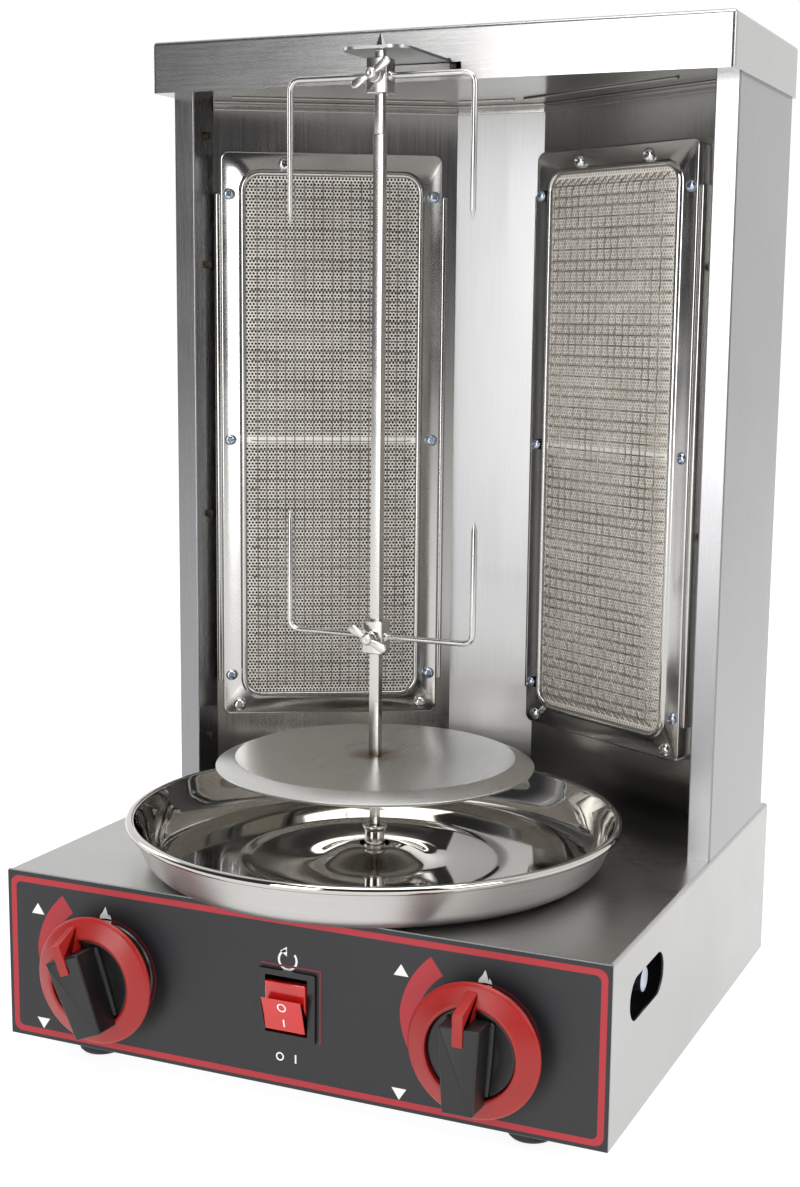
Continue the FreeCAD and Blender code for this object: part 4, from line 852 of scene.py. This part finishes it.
scorch = add(tree, "ShaderNodeMix", {"data_type": "RGBA"}, s0=near.outputs["Result"],
             s6=srgb("#6d5238"), s7=plain)
tree.links.new(scorch.outputs[2], shader.inputs["Base Color"])
disc = bmesh.new()
lathe(disc, eased([(3.4, 0), (76.6, 0), (87, -4.4), (86.6, -5.8), (76.4, -1.5), (6.4, -1.5), (6.4, -9),
                   (3.4, -9)], 0.35, 3), Matrix.Translation((0, axis.y, disc_high.z)), 160)
piece("meat_disc_turned", disc, disc_steel, "spit", ["meat_disc"], 24)

bar_steel = polished("bright_drawn_304_bar", "#c6c4c0", 0.16, 0.12)
spit_low, spit_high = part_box("spit_rod")
nose_above_arm, nose_length = 0.3 * MM, 44 * MM
nose_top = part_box("spit_arm")[1].z + nose_above_arm
shoulder = nose_top - nose_length
bar = bmesh.new()
for side_w, low_z, high_z in ((4.6, spit_low.z, disc_high.z), (5.6, disc_high.z, shoulder),
                              (4.6, shoulder, nose_top)):
    half = side_w / 2
    slab(bar, eased([(-half, -half), (half, -half), (half, half), (-half, half)], 0.5, 3), low_z / MM,
         high_z / MM, 0.35, Matrix.Translation((0, axis.y, 0)), both=True)
point = [[Vector((x * MM, axis.y + y * MM, height)) for x, y in round_rect(half, half, 0.2 * half)]
         for half, height in ((2.2, nose_top - nose_above_arm), (0.35, spit_high.z))]
loops(bar, point, close=False, caps=True)
piece("spit_square_bar", bar, bar_steel, "spit", ["spit_rod"], 30)

# ------------------------------------------------------------------ drive socket
# A turned cup with a flared lip and a square hole that the spit drops into, pressed on the shaft.
socket_steel = polished("turned_304_socket", "#bdbbb8", 0.14, 0.1)
dress(socket_steel, "drive_shaft")
cup = bmesh.new()
cup_stand = Matrix.Translation((0, axis.y, deck))
lathe(cup, eased([(2.9, 6.2), (2.9, 19.2), (3.6, 19.95), (6.55, 19.95), (6.6, 18.6), (5.5, 16.8), (5.5, 8.8),
                  (6.2, 8.2), (6.2, 6.2), (5.5, 5.6), (5.5, 1.7), (2.9, 1.7)], 0.3, 3), cup_stand, 48)
piece("drive_socket_cup", cup, socket_steel, "drive", ["drive_socket"])

# ------------------------------------------------------------------ forks and wing screws
# Each fork is a square collar with 3.2 mm wire welded on both sides and bent to two prongs with
# ground points. A cast wing screw in a welded boss locks it on the spit.


def route(points, bend, steps=7):
    """Straight runs joined by round bends."""
    path = [Vector(points[0])]
    for before, here, after in zip(points, points[1:], points[2:]):
        here = Vector(here)
        come, leave = (Vector(before) - here).normalized(), (Vector(after) - here).normalized()
        a, b = here + come * bend, here + leave * bend
        path += [(1 - t) ** 2 * a + 2 * t * (1 - t) * here + t ** 2 * b
                 for t in (k / steps for k in range(steps + 1))]
    return path + [Vector(points[-1])]


wing_steel = polished("cast_304_wing_screw", "#c4c2be", 0.18, 0.14)
for name, wire_up, prong, point, wing_turn, reaches in (("upper", 417, 73, -1, 32, (52.3, 52.3)),
                                                        ("lower", 125, 66, 1, -28, (52.3, 56.0))):
    level = deck / MM + wire_up
    centre = Matrix.Translation((0, axis.y, level * MM))
    fork = bmesh.new()
    loops(fork, [[centre @ Vector((x * MM, y * MM, h * MM))
                  for x, y in round_rect(half, half, 0.7 if half > 4 else 0.3, steps=3)]
                 for half, h in ((5.2, -9), (5.75, -8.4), (5.75, 8.4), (5.2, 9), (3.5, 9), (3.15, 8.6),
                                 (3.15, -8.6), (3.5, -9))])
    boss = centre @ Matrix.Rotation(math.pi / 2, 4, "X")
    lathe(fork, eased([(2.06, 5.0), (4.3, 5.0), (4.0, 6.0), (4.0, 8.9), (2.06, 8.9)], 0.3, 3), boss, 32)
    for way, reach in zip((-1, 1), reaches):
        wire = [(way * 5.2, 0, 0), (way * reach, 0, 0), (way * reach, 0, point * (prong - 6))]
        path = [centre @ (p * MM) for p in route(wire, 6.5)]
        path.append(centre @ (Vector((way * reach, 0, point * (prong - 0.2))) * MM))
        bar_along(fork, path, 1.6 * MM, 14, 0.25 * MM)
        weld = (centre @ Matrix.Translation((way * 5.7 * MM, 0, 0))
                @ Matrix.Rotation(way * math.pi / 2, 4, "Y"))
        lathe(fork, eased([(0.01, 0), (3.0, 0), (2.4, 0.9), (1.7, 1.7), (0.01, 1.7)], 0.4, 3), weld, 20)
    piece(f"fork_{name}_welded", fork, bar_steel, f"fork_{name}",
          [f"fork_{name}"], 40)

    wing = bmesh.new()
    turn = boss @ Matrix.Rotation(math.radians(wing_turn), 4, "Z")
    lathe(wing, eased([(0.01, 3.2), (2.0, 3.2), (2.0, 9.2), (3.3, 9.3), (3.1, 12.6), (2.4, 13.8),
                       (0.01, 13.8)], 0.3, 3), turn, 32)
    for way in (-1, 1):
        lobe = [(way * 1.0, -1.3), (way * 5.0, -1.6), (way * 9.5, -2.0), (way * 12.2, -1.1),
                (way * 12.3, 1.3), (way * 10.8, 3.0), (way * 7.0, 2.5), (way * 1.0, 1.4)]
        slab(wing, eased(lobe, 1.0, 3), 10.8, 12.6, 0.7, turn, both=True)
    piece(f"wing_screw_{name}_cast", wing, wing_steel, f"wing_{name}",
          [f"wing_screw_{name}"], 40)

# ------------------------------------------------------------------ knob bezels
# A spun bright ring round each valve stem, glued to the panel.
dress(chrome, "knob_bezels", "switch_tabs")

# ------------------------------------------------------------------ gas train and drive
# Turned brass valves, injectors and inlet; drawn aluminium gas tube; a black-painted steel
# manifold with zinc plugs; a zinc-cased gear motor with a sintered bush.
brass = polished("turned_brass", "#b8924a", 0.22, 0.2)
dress(brass, "gas_valves", "injectors", "valve_stem_left", "valve_stem_right", "valve_plunger_left",
      "valve_plunger_right", "gas_inlet", "shaft_bush")
tube_metal = brushed("drawn_aluminium_tube", "#b9bbbe", "y", 0.30, grain=0.8)
dress(tube_metal, "burner_tubes", "feed_tube")
paint = printed("black_manifold_enamel", "#26272a", 0.38)
dress(paint, "manifold_pipe")
dress(zinc, "manifold_plugs", "foot_screws")
motor_case = brushed("zinc_motor_case", "#9a9ea3", "z", 0.36, grain=0.8)
dress(motor_case, "gear_motor")
